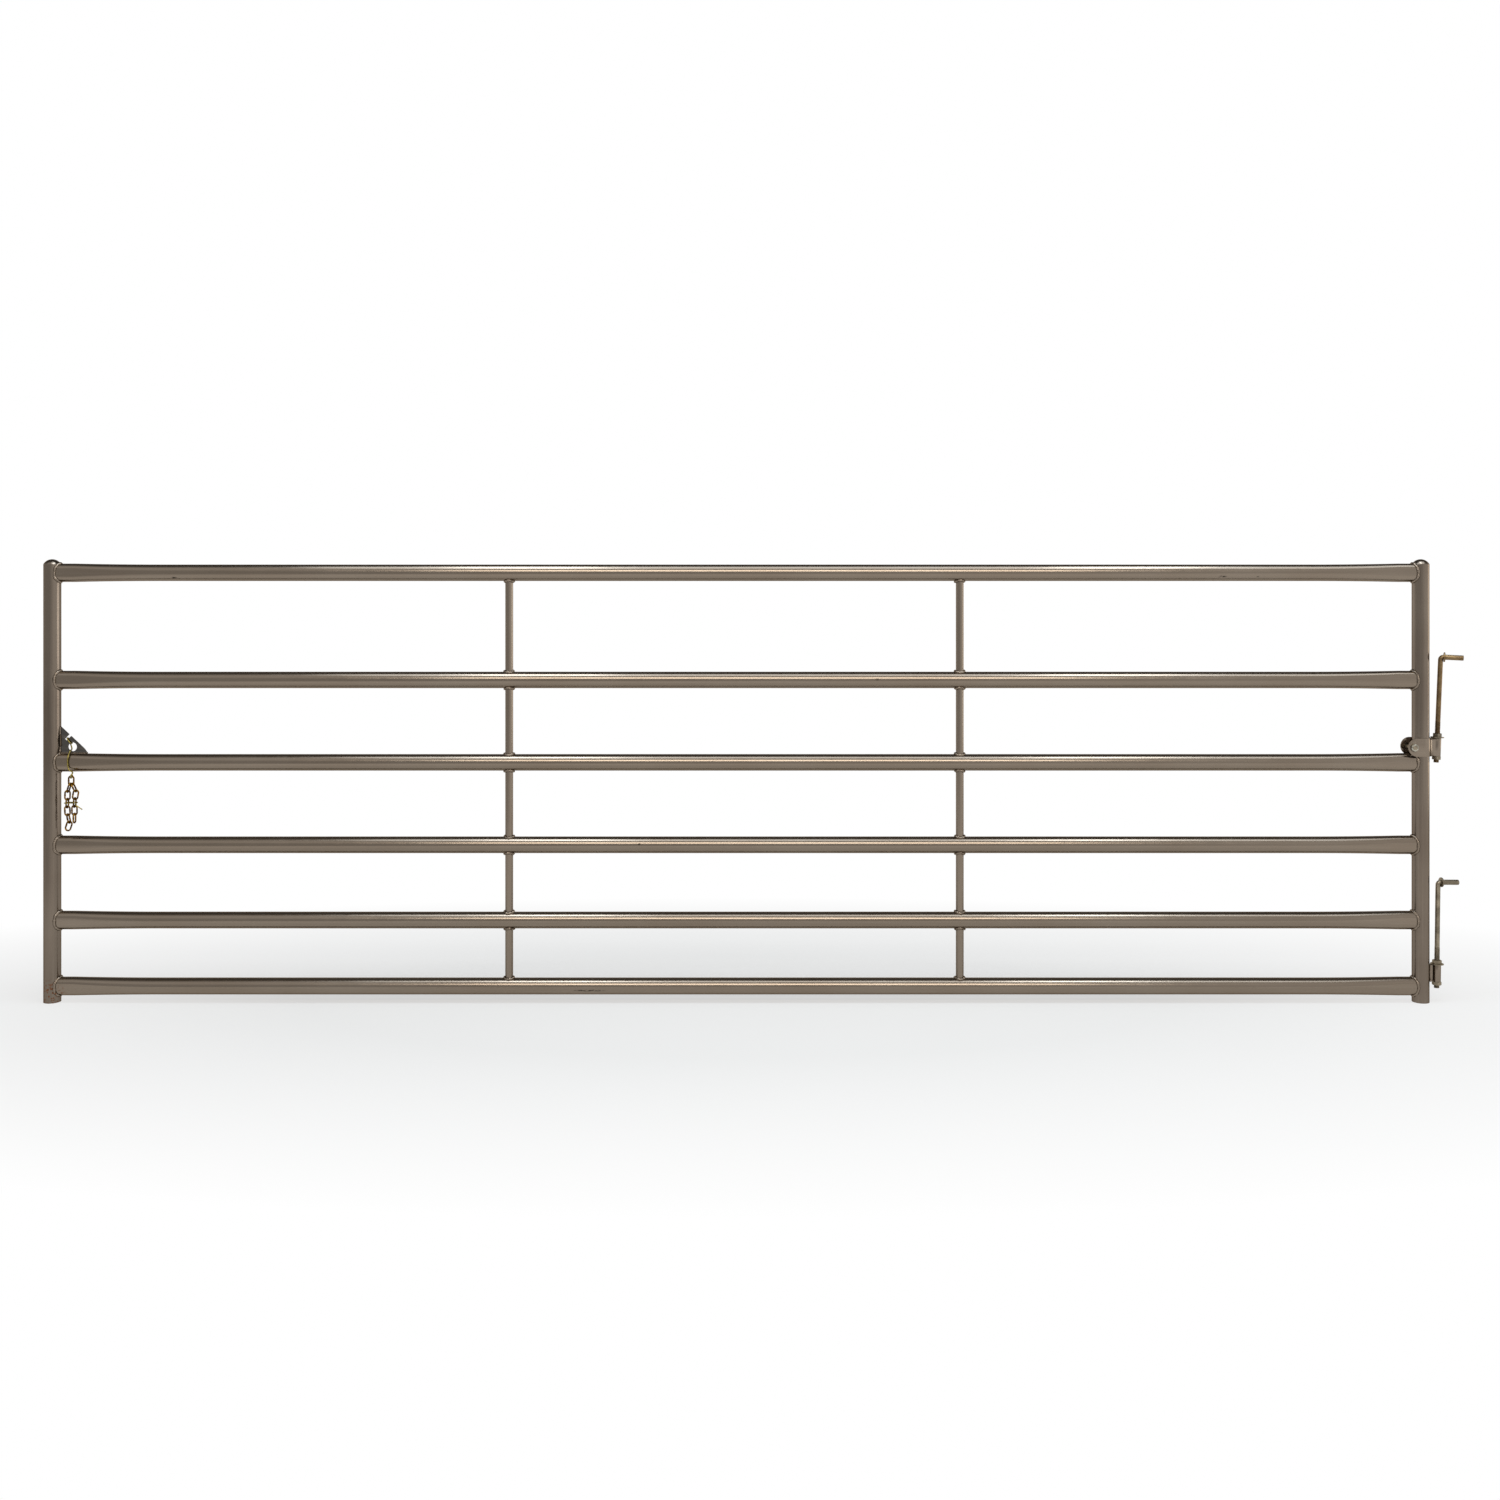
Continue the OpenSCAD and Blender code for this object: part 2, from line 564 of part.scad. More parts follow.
// Hook bolt in its barrel's frame: threaded leg, tight bend, collar and pin
module hook(barrel_h) {
    end_z = -barrel_h / 2 - hook_stub;
    pin_z = end_z + hook_leg;
    thread_r = hook_thread_d / 2;
    pin_r = hook_pin_d / 2;
    color(gold_zinc) {
        translate([0, 0, end_z]) cylinder(h = hook_chamfer, r1 = thread_r - hook_chamfer, r2 = thread_r);
        translate([0, 0, end_z + hook_chamfer])
            cylinder(h = hook_thread_length - hook_chamfer, r = thread_r);
        translate([0, 0, end_z + hook_thread_length])
            cylinder(h = hook_leg - hook_thread_length - hook_bend_r, d = hook_shank_d);
        translate([hook_bend_r, 0, pin_z - hook_bend_r]) rotate([90, 0, 0]) rotate([0, 0, 90])
            rotate_extrude(angle = 90) translate([hook_bend_r, 0]) circle(d = hook_shank_d);
        translate([hook_bend_r, 0, pin_z]) rotate([0, 90, 0]) {
            cylinder(h = collar_t, d = collar_d);
            cylinder(h = hook_pin_reach - hook_bend_r - hook_chamfer, r = pin_r);
            translate([0, 0, hook_pin_reach - hook_bend_r - hook_chamfer])
                cylinder(h = hook_chamfer, r1 = pin_r, r2 = pin_r - hook_chamfer);
        }
    }
}

module thread_hole(h) {
    translate([0, 0, -cut]) cylinder(h = h + 2 * cut, r = hook_thread_d / 2 + thread_clearance);
}

// Washer on top of the barrel
module washer(barrel_h) {
    color(gold_zinc) translate([0, 0, barrel_h / 2 + seat_gap]) difference() {
        cylinder(h = hook_washer_t, d = hook_washer_d);
        thread_hole(hook_washer_t);
    }
}

// Nut whose lower face is at the height given
module hook_nut(z) {
    color(gold_zinc) translate([0, 0, z]) difference() {
        hexagon(hook_nut_af, hook_nut_h);
        thread_hole(hook_nut_h);
    }
}

module hook_piece(piece, barrel_h) {
    if (piece == "hook") hook(barrel_h);
    if (piece == "top_nut") hook_nut(barrel_h / 2 + seat_gap + hook_washer_t);
    if (piece == "washer") washer(barrel_h);
    if (piece == "bottom_nut") hook_nut(-barrel_h / 2 - seat_gap - hook_nut_h);
}

// Pieces of one hook, turned about the leg to where its pin points
module hook_set(level, barrel_z, barrel_h, lean, turn) {
    at_barrel(barrel_z, lean) rotate([0, 0, turn])
        for (piece = hook_pieces)
            hook_piece(piece, barrel_h);
}

// Chain link that faces the front, with its long axis upright
module chain_link() {
    color(gold_zinc) for (end = [0, 180]) rotate([0, end, 0]) {
        translate([0, 0, link_leg / 2]) rotate([90, 0, 0])
            rotate_extrude(angle = 180) translate([link_bend_r, 0]) circle(d = link_wire_d);
        translate([link_bend_r, 0, -link_leg / 2]) cylinder(h = link_leg, d = link_wire_d);
    }
}

module strand_link(start, leans, i) {
    centre = link_centre(start, leans, i);
    translate([centre.x - post_span, chain_y, centre.y]) rotate([0, -leans[i], 0])
        rotate([0, 0, edge_on(i) ? 90 : 0]) chain_link();
}

module tie_wire() {
    color(gold_zinc) translate([-post_span, 0, 0]) wire(tie_route, tie_d);
}

module bundle_tie() {
    color(gold_zinc) translate([-post_span, 0, 0]) wire(bundle_route, bundle_tie_d);
}

post();  // hinge_post
translate([-post_span, 0, 0]) post();  // latch_post
post_cap();  // hinge_post_cap
translate([-post_span, 0, 0]) post_cap();  // latch_post_cap
for (i = [0:rail_count - 1])
    rail(i);
for (i = [0:rail_count - 2]) {
    brace(latch_brace_reach - post_span, i);
    brace(-hinge_brace_reach, i);
}
latch_plate();
lower_hinge_barrel();
upper_hinge_strap();
clamp_bolt();
clamp_nut();
hook_set("upper", upper_hinge_z, strap_height, upper_lean, upper_turn);
hook_set("lower", lower_hinge_z, lower_barrel_h, lower_lean, lower_turn);
tie_wire();
bundle_tie();
translate([chain_x - post_span, chain_y, top_link_z]) chain_link();  // chain_top_link
for (i = [0:len(left_leans) - 1])
    strand_link(left_start, left_leans, i);
for (i = [0:len(right_leans) - 1])
    strand_link(right_start, right_leans, i);
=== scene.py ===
import json
import math

import bmesh
import bpy
from bpy.props import FloatProperty, FloatVectorProperty, IntProperty, PointerProperty
from mathutils import Matrix, Vector

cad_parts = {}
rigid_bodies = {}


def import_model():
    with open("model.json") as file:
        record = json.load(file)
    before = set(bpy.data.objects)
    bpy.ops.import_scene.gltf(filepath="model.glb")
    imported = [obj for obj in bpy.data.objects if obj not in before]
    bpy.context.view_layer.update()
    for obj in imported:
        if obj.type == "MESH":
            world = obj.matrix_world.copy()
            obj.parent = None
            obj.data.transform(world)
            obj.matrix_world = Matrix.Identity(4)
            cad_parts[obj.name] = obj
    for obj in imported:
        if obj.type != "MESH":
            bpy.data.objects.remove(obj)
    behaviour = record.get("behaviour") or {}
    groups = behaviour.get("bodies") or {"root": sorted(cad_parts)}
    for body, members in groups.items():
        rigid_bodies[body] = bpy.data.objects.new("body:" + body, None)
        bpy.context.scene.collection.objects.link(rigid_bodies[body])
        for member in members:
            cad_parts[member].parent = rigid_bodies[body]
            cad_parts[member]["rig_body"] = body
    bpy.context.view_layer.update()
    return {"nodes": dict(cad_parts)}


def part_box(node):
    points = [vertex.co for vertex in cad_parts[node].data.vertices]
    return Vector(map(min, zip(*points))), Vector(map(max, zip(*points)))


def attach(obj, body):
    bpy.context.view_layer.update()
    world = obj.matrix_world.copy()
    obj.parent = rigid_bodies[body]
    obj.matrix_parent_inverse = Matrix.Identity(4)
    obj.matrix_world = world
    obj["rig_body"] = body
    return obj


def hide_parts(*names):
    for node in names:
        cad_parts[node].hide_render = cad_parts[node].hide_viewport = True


bl_info = {
    "name": "Field gate",
    "version": (1, 0, 0),
    "blender": (4, 5, 0),
    "location": "View3D > Sidebar > Gate",
    "description": "Dresses a tubular field gate: pressed rails, welds, hook bolts and a latch chain",
    "category": "Object",
}

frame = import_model()

MM = 0.001
# Points closer together than this are merged
MERGE_WITHIN = 1e-6
# A point this close to a plane lies on it
SAME_PLACE = 0.01 * MM
# Faces that turn by less than the first angle are one plane, and edges beyond the second are rounded
FLAT_ANGLE = math.radians(0.5)
SHARP_ANGLE = math.radians(40)
# Edges below these angles, in degrees, are shaded smooth
SMOOTH_PLATES = 35
SMOOTH_THREADS = 30
SMOOTH_WIRES = 60
POSTS = ["hinge_post", "latch_post", "hinge_post_cap", "latch_post_cap"]
RAILS = ["bottom_rail", "second_rail", "third_rail", "fourth_rail", "fifth_rail", "top_rail"]
BRACES = [f"{side}_brace_{i}" for side in ("latch", "hinge") for i in range(1, 6)]


def middle(node):
    low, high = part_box(node)
    return (low + high) / 2


def width(node, axis):
    low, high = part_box(node)
    return high[axis] - low[axis]


hinge_post_at = middle("hinge_post")
latch_post_at = middle("latch_post")
post_span = hinge_post_at.x - latch_post_at.x
tube_radius = width("hinge_post", 0) / 2
brace_radius = width("latch_brace_1", 0) / 2


class GateSizes(bpy.types.PropertyGroup):
    """Sizes that dress the gate without changing its frame."""

    rail_sides: IntProperty(
        name="Rail sides", description="Points round a rail", default=72, min=24)
    tube_wall: FloatProperty(
        name="Tube wall", description="Wall of the rails", default=1.65 * MM, unit="LENGTH")
    press_depth: FloatProperty(
        name="Pressed depth", description="Depth of a rail's pressed end", default=40.4 * MM, unit="LENGTH")
    press_length: FloatProperty(
        name="Pressed length", description="Reach of the pressed end from a post's axis",
        default=70 * MM, unit="LENGTH")
    round_from: FloatProperty(
        name="Round from", description="Distance from a post's axis at which a rail is round",
        default=340 * MM, unit="LENGTH")
    weld_gap: FloatProperty(
        name="Weld gap", description="Gap that a weld bead fills", default=0.3 * MM, unit="LENGTH")
    rail_bead: FloatProperty(
        name="Rail bead", description="Radius of the bead round a rail's end",
        default=4.6 * MM, unit="LENGTH")
    brace_bead: FloatProperty(
        name="Brace bead", description="Radius of the bead round a brace's end",
        default=4.4 * MM, unit="LENGTH")
    plate_bead: FloatProperty(
        name="Plate bead", description="Radius of the beads along plates", default=2.6 * MM, unit="LENGTH")
    edge_round: FloatProperty(
        name="Edge rounding", description="Rounding of sheared and rolled edges",
        default=0.6 * MM, unit="LENGTH")
    hook_pitch: FloatProperty(
        name="Hook thread pitch", description="Pitch of the hook bolts' thread",
        default=2.31 * MM, unit="LENGTH")
    clamp_pitch: FloatProperty(
        name="Clamp thread pitch", description="Pitch of the clamp bolt's thread",
        default=1.95 * MM, unit="LENGTH")


class GateColours(bpy.types.PropertyGroup):
    """Colours of the gate's finishes."""

    paint: FloatVectorProperty(
        name="Paint", description="Grey-brown enamel", subtype="COLOR",
        default=(0.225, 0.179, 0.137))
    # Painted shade: the rails' enamel darkened to about 0.71 of its colour, so the posts and caps show
    # painted shade; their real paint is the same as the rails'
    shaded_post_paint: FloatVectorProperty(
        name="Shaded post paint", description="Rail enamel darkened on the posts as painted shade", subtype="COLOR",
        default=(0.160, 0.126, 0.098))
    paint_worn: FloatVectorProperty(
        name="Worn paint", description="Paler, rubbed enamel", subtype="COLOR",
        default=(0.268, 0.224, 0.179))
    rust: FloatVectorProperty(
        name="Rust", description="Rust at chips in the enamel", subtype="COLOR",
        default=(0.155, 0.052, 0.018))
    plate: FloatVectorProperty(
        name="Plate", description="Greyer enamel of the latch plate", subtype="COLOR",
        default=(0.090, 0.087, 0.082))
    gold: FloatVectorProperty(
        name="Gold zinc", description="Yellow zinc plate of the chain", subtype="COLOR",
        default=(0.34, 0.17, 0.018))
    gold_dull: FloatVectorProperty(
        name="Dull gold", description="Chain's plate gone brown", subtype="COLOR",
        default=(0.055, 0.022, 0.003))
    wire_gold: FloatVectorProperty(
        name="Wire gold", description="Olive-yellow plate of the tie wires", subtype="COLOR",
        default=(0.38, 0.30, 0.080))
    wire_dull: FloatVectorProperty(
        name="Dull wire", description="Tie wires' plate gone olive", subtype="COLOR",
        default=(0.22, 0.17, 0.045))
    bronze: FloatVectorProperty(
        name="Bronze zinc", description="Plate of the upper hook", subtype="COLOR",
        default=(0.25, 0.17, 0.085))
    bronze_dull: FloatVectorProperty(
        name="Dull bronze", description="Upper hook's plate gone brown", subtype="COLOR",
        default=(0.165, 0.108, 0.056))
    tan: FloatVectorProperty(
        name="Tan zinc", description="Plate of the lower hook", subtype="COLOR",
        default=(0.37, 0.31, 0.225))
    tan_dull: FloatVectorProperty(
        name="Dull tan", description="Lower hook's plate gone grey", subtype="COLOR",
        default=(0.20, 0.165, 0.118))
    clear_zinc: FloatVectorProperty(
        name="Clear zinc", description="Grey zinc plate", subtype="COLOR",
        default=(0.62, 0.59, 0.50))
    clear_dull: FloatVectorProperty(
        name="Dull zinc", description="Grey zinc plate gone dark", subtype="COLOR",
        default=(0.27, 0.25, 0.20))


# Selection and finishing

def clear_selection():
    if bpy.context.mode != "OBJECT":
        bpy.ops.object.mode_set(mode="OBJECT")
    bpy.ops.object.select_all(action="DESELECT")


def take(piece):
    """Makes a piece the only selected one, and the active one."""
    clear_selection()
    piece.select_set(True)
    bpy.context.view_layer.objects.active = piece


def open_edit(piece):
    take(piece)
    bpy.ops.object.mode_set(mode="EDIT")
    bpy.ops.mesh.select_mode(type="VERT")


def close_edit():
    bpy.ops.object.mode_set(mode="OBJECT")


def choose(piece, test):
    """Selects, in edit mode, the points whose place passes a test."""
    bpy.ops.mesh.select_all(action="DESELECT")
    mesh = bmesh.from_edit_mesh(piece.data)
    for point in mesh.verts:
        point.select = test(point.co)
    mesh.select_flush(True)
    bmesh.update_edit_mesh(piece.data)


def apply_modifier(piece, kind, **settings):
    take(piece)
    modifier = piece.modifiers.new(kind.lower(), kind)
    for key, value in settings.items():
        setattr(modifier, key, value)
    bpy.ops.object.modifier_apply(modifier=modifier.name)


def cut_with(piece, tool, operation):
    apply_modifier(piece, "BOOLEAN", object=tool, operation=operation, solver="EXACT")
    bpy.data.objects.remove(tool)


def tidy_mesh(piece):
    """Merges doubled points and turns the faces outwards."""
    open_edit(piece)
    bpy.ops.mesh.select_all(action="SELECT")
    bpy.ops.mesh.remove_doubles(threshold=MERGE_WITHIN)
    bpy.ops.mesh.normals_make_consistent(inside=False)
    close_edit()


def merge_flats(piece):
    """Merges doubled points, and faces that lie in one plane."""
    open_edit(piece)
    bpy.ops.mesh.select_all(action="SELECT")
    bpy.ops.mesh.remove_doubles(threshold=MERGE_WITHIN)
    bpy.ops.mesh.dissolve_limited(angle_limit=FLAT_ANGLE)
    close_edit()


def put_in_scene(name, data):
    piece = bpy.data.objects.new(name, data)
    bpy.context.scene.collection.objects.link(piece)
    return piece


def apply_transform():
    bpy.ops.object.transform_apply(location=True, rotation=True, scale=True)


def cylinder(sides, radius, depth, height):
    """Closed cylinder on the Z axis, with its middle at a height."""
    clear_selection()
    bpy.ops.mesh.primitive_cylinder_add(
        vertices=sides, radius=radius, depth=depth, location=(0, 0, height))
    apply_transform()
    return bpy.context.object


def copy_of(master):
    take(master)
    bpy.ops.object.duplicate()
    return bpy.context.object


def settle(piece, place):
    """Moves a piece by a matrix and puts that into its mesh."""
    take(piece)
    piece.matrix_world = place
    apply_transform()


def joined(pieces):
    take(pieces[0])
    for piece in pieces:
        piece.select_set(True)
    bpy.ops.object.join()
    return bpy.context.object


def finish_piece(piece, name, body, slot, material, *nodes, angle=SMOOTH_PLATES):
    """Names a finished piece, shades it and ties it to the frame."""
    take(piece)
    bpy.ops.object.shade_smooth_by_angle(angle=math.radians(angle))
    piece.name = name
    piece.data.name = name
    piece.data.materials.clear()
    piece.data.materials.append(material)
    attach(piece, body)
    if nodes:
        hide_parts(*nodes)


def softened(node, rounding):
    """Copy of a frame piece with its sharp edges rounded."""
    clear_selection()
    piece = put_in_scene(node, frame["nodes"][node].data.copy())
    take(piece)
    bpy.ops.mesh.customdata_custom_splitnormals_clear()
    merge_flats(piece)
    apply_modifier(piece, "BEVEL", width=rounding, segments=2, limit_method="ANGLE",
                   angle_limit=SHARP_ANGLE, miter_outer="MITER_ARC")
    return piece


def wire(points, radius, closed=False, sides=4, steps=6):
    """Round wire through points, as a mesh."""
    clear_selection()
    curve = bpy.data.curves.new("wire", "CURVE")
    curve.dimensions = "3D"
    curve.resolution_u = steps
    curve.bevel_depth = radius
    curve.bevel_resolution = sides
    curve.use_fill_caps = not closed
    spline = curve.splines.new("BEZIER")
    spline.bezier_points.add(len(points) - 1)
    for handle, point in zip(spline.bezier_points, points):
        handle.co = point
        handle.handle_left_type = "AUTO"
        handle.handle_right_type = "AUTO"
    spline.use_cyclic_u = closed
    piece = put_in_scene("wire", curve)
    take(piece)
    bpy.ops.object.convert(target="MESH")
    return bpy.context.object


def roughen(piece, grain, height):
    """Uneven swell of a weld bead."""
    ripple = bpy.data.textures.new("weld_ripple", "CLOUDS")
    ripple.noise_scale = grain
    ripple.noise_depth = 1
    apply_modifier(piece, "DISPLACE", texture=ripple, strength=height, mid_level=0.5,
                   texture_coords="GLOBAL")


# Ripples of a weld bead, as shares of its radius
RIPPLE_LENGTH = 2.2
RIPPLE_HEIGHT = 0.9


def bead_along(points, radius, closed=False):
    """Weld bead through points."""
    piece = wire(points, radius, closed=closed, sides=2, steps=4)
    tidy_mesh(piece)
    roughen(piece, RIPPLE_LENGTH * radius, RIPPLE_HEIGHT * radius)
    return piece


# Finishes

def feed(tree, socket, value):
    """Links a socket to another node's output, or sets it to a value."""
    if isinstance(value, bpy.types.NodeSocket):
        tree.links.new(value, socket)
    else:
        socket.default_value = value


def add_node(tree, kind, **values):
    """Adds a shader node. Values name its inputs, or else its settings."""
    node = tree.nodes.new(kind)
    for key, value in values.items():
        place = key.replace("_", " ").title()
        if place in node.inputs:
            feed(tree, node.inputs[place], value)
        else:
            setattr(node, key, value)
    return node


def start_finish(name):
    material = bpy.data.materials.new(name)
    material.use_nodes = True
    tree = material.node_tree
    shader = tree.nodes["Principled BSDF"]
    places = add_node(tree, "ShaderNodeTexCoord").outputs["Object"]
    return material, tree, shader, places


def noise(tree, places, size, detail, stretch=(1, 1, 1)):
    """Noise whose grain is about the given length, drawn out along an axis by stretch."""
    mapping = add_node(tree, "ShaderNodeMapping", vector=places,
                       scale=[1 / (size * s) for s in stretch])
    grain = add_node(tree, "ShaderNodeTexNoise", vector=mapping.outputs[0], scale=1.0, detail=detail)
    return grain.outputs["Fac"]


def span(tree, value, low, high, to_low=0.0, to_high=1.0):
    return add_node(tree, "ShaderNodeMapRange", value=value, from_min=low, from_max=high,
                    to_min=to_low, to_max=to_high).outputs[0]


def patches(tree, places, layer, to_low=0.0, to_high=1.0, stretch=(1, 1, 1)):
    """A layer of noise, from the low value between its patches to the high value inside them."""
    grain, detail, low, high = layer
    return span(tree, noise(tree, places, grain, detail, stretch), low, high, to_low, to_high)


def combine(tree, operation, first, second):
    node = add_node(tree, "ShaderNodeMath", operation=operation)
    feed(tree, node.inputs[0], first)
    feed(tree, node.inputs[1], second)
    return node.outputs[0]


def blend(tree, share, first, second):
    """First colour where the share is 0, second where it is 1."""
    node = add_node(tree, "ShaderNodeMix", data_type="RGBA")
    tree.links.new(share, node.inputs[0])
    for socket, value in zip(node.inputs[6:8], (first, second)):
        linked = isinstance(value, bpy.types.NodeSocket)
        feed(tree, socket, value if linked else (*value, 1))
    return node.outputs[2]


# Share of a spot's reach within which it is full
SPOT_CORE = 0.35


def near(tree, places, point, reach):
    """1 around a point and 0 from its reach on, which may differ by axis."""
    mapping = add_node(tree, "ShaderNodeMapping", vector=places, scale=[1 / r for r in reach],
                       location=[-p / r for p, r in zip(point, reach)])
    length = add_node(tree, "ShaderNodeVectorMath", operation="LENGTH")
    tree.links.new(mapping.outputs[0], length.inputs[0])
    return span(tree, length.outputs["Value"], 1, SPOT_CORE)


# Layers of noise: grain in metres, detail, and the values between which the patches come in
MOTTLE = (0.35, 4, 0.35, 0.68)
STREAKS = (0.006, 4, 0.50, 0.72)
SPECKS = (0.004, 2, 0.68, 0.76)
CHIPS = (0.007, 4, 0.55, 0.62)
BREAKS = (0.005, 4, 0.42, 0.56)
GLOSS = (0.05, 4, 0.3, 0.7)
FLECKS = (0.0028, 3, 0.58, 0.70)
TARNISH = (0.009, 3, 0.3, 0.7)
# The same for the clouds in zinc plate, without their grain, and that grain by piece
CLOUDS = (4, 0.42, 0.64)
CHAIN_CLOUD = 0.010
HOOK_CLOUD = 0.03
NUT_CLOUD = 0.006
# How far the streaks, and the breaks in the scuffs, are drawn out
STREAK_STRETCH = 60
BREAK_STRETCH = (2, 1, 1)
# Strength of the layers
MOTTLE_SHARE = 0.5
STREAK_SHARE = 0.35
SPECK_SHARE = 0.2
FLECK_SHARE = 0.45
# Colour of specks, scuffs and flecks, as a share of the colour that they lie on
SPECK_DARK = 0.4
SCUFF_DARK = 0.15
FLECK_DARK = 0.45
# Rust at the latch post's foot: its height and its reach by axis
RUST_HEIGHT = 0.02
RUST_REACH = (0.06, 0.05, 0.06)
# Dark scuffs that show on the rails: place along the leaf, height and half length
SCUFFS = [
    (-3.832, 1.306, 0.014), (-0.618, 1.309, 0.017), (-0.507, 1.309, 0.010),
    (-2.405, 0.489, 0.008), (-1.675, 0.994, 0.010), (-2.56, 0.040, 0.060),
]
# Reach of a scuff in depth and in height
SCUFF_DEPTH = 0.02
SCUFF_HEIGHT = 0.004
ENAMEL_METALLIC = 0.95
ENAMEL_TINT = (0.40, 0.36, 0.32, 1)
ENAMEL_ROUGHNESS = (0.16, 0.22)
ZINC_METALLIC = 0.7
ZINC_SPECULAR = 0.2
ZINC_TINT = 0.3
ZINC_ROUGHNESS = (0.22, 0.36)
# Fine relief of a weld and of zinc plate: grain and height in metres
WELD_GRAIN = 0.0035
WELD_HEIGHT = 0.0014
PIT_GRAIN = 0.0016
PIT_HEIGHT = 0.0004
PIT_STRENGTH = 0.15


def enamel(name, base, colours, along=0, weld=False):
    """Grey-brown metallic enamel, streaked along one axis, with scuffs and a little rust."""
    material, tree, shader, places = start_finish(name)
    drawn_out = [1, 1, 1]
    drawn_out[along] = STREAK_STRETCH
    mottle = patches(tree, places, MOTTLE)
    streak = patches(tree, places, STREAKS, stretch=drawn_out)
    colour = blend(tree, combine(tree, "MULTIPLY", mottle, MOTTLE_SHARE), base, colours.paint_worn)
    colour = blend(tree, combine(tree, "MULTIPLY", streak, STREAK_SHARE), colour, colours.paint_worn)
    speck = combine(tree, "MULTIPLY", patches(tree, places, SPECKS), SPECK_SHARE)
    colour = blend(tree, speck, colour, [SPECK_DARK * c for c in base])
    foot = near(tree, places, (latch_post_at.x, -tube_radius, RUST_HEIGHT), RUST_REACH)
    chips = patches(tree, places, CHIPS)
    colour = blend(tree, combine(tree, "MULTIPLY", foot, chips), colour, colours.rust)
    if not weld:
        broken = patches(tree, places, BREAKS, stretch=BREAK_STRETCH)
        for x, z, reach in SCUFFS:
            spot = near(tree, places, (x, -tube_radius, z), (reach, SCUFF_DEPTH, SCUFF_HEIGHT))
            scuff = combine(tree, "MULTIPLY", spot, broken)
            colour = blend(tree, scuff, colour, [SCUFF_DARK * c for c in base])
    tree.links.new(colour, shader.inputs["Base Color"])
    shader.inputs["Metallic"].default_value = ENAMEL_METALLIC
    shader.inputs["Specular Tint"].default_value = ENAMEL_TINT
    tree.links.new(patches(tree, places, GLOSS, *ENAMEL_ROUGHNESS), shader.inputs["Roughness"])
    if weld:
        ripple = noise(tree, places, WELD_GRAIN, 3)
        bump = add_node(tree, "ShaderNodeBump", height=ripple, strength=1.0, distance=WELD_HEIGHT)
        tree.links.new(bump.outputs[0], shader.inputs["Normal"])
    return material


def zinc(name, bright, dull, cloud):
    """Zinc plate with clouds of two colours, about as wide as given."""
    material, tree, shader, places = start_finish(name)
    colour = blend(tree, patches(tree, places, (cloud, *CLOUDS)), dull, bright)
    fleck = combine(tree, "MULTIPLY", patches(tree, places, FLECKS), FLECK_SHARE)
    colour = blend(tree, fleck, colour, [FLECK_DARK * c for c in dull])
    tree.links.new(colour, shader.inputs["Base Color"])
    shader.inputs["Metallic"].default_value = ZINC_METALLIC
    shader.inputs["Specular IOR Level"].default_value = ZINC_SPECULAR
    shader.inputs["Specular Tint"].default_value = (*[ZINC_TINT * c / max(bright) for c in bright], 1)
    tree.links.new(patches(tree, places, TARNISH, *ZINC_ROUGHNESS), shader.inputs["Roughness"])
    pits = noise(tree, places, PIT_GRAIN, 2)
    bump = add_node(tree, "ShaderNodeBump", height=pits, strength=PIT_STRENGTH, distance=PIT_HEIGHT)
    tree.links.new(bump.outputs[0], shader.inputs["Normal"])
    return material


finishes = {}


def make_finishes():
    colours = bpy.context.scene.gate_colours
    finishes["paint"] = enamel("grey_brown_enamel", colours.paint, colours)
    finishes["upright"] = enamel("grey_brown_upright_enamel", colours.paint, colours, along=2)
    # The posts and caps take the darkened enamel, which paints shade on them
    finishes["post"] = enamel("grey_brown_post_enamel_painted_shade", colours.shaded_post_paint, colours, along=2)
    finishes["plate"] = enamel("grey_plate_enamel", colours.plate, colours)
    finishes["weld"] = enamel("enamel_on_weld", colours.paint, colours, weld=True)
    finishes["gold"] = zinc("gold_zinc_plate", colours.gold, colours.gold_dull, CHAIN_CLOUD)
    finishes["wire"] = zinc("wire_zinc_plate", colours.wire_gold, colours.wire_dull, CHAIN_CLOUD)
    finishes["upper"] = zinc("bronze_zinc_plate", colours.bronze, colours.bronze_dull, HOOK_CLOUD)
    finishes["lower"] = zinc("tan_zinc_plate", colours.tan, colours.tan_dull, HOOK_CLOUD)
    finishes["clear"] = zinc("clear_zinc_plate", colours.clear_zinc, colours.clear_dull, NUT_CLOUD)


# Pieces

def finish_welds(beads, name):
    """Joins weld beads to one piece of the leaf."""
    piece = joined(beads)
    tidy_mesh(piece)
    finish_piece(piece, name, "leaf", "paint", finishes["weld"], angle=SMOOTH_WIRES)


class GATE_OT_frame_tubes(bpy.types.Operator):
    """Enamels the posts, caps and braces, which keep the frame's own shapes"""

    bl_idname = "gate.frame_tubes"
    bl_label = "Posts, caps and braces"

    def execute(self, context):
        make_finishes()
        # The posts' finish is the rails' enamel darkened as painted shade
        for nodes, finish in ((POSTS, "post"), (BRACES, "upright")):
            for node in nodes:
                mesh = frame["nodes"][node].data
                mesh.materials.clear()
                mesh.materials.append(finishes[finish])
        return {"FINISHED"}


# Steps in which a rail's end is drawn from round to pressed
PRESS_STEPS = 14


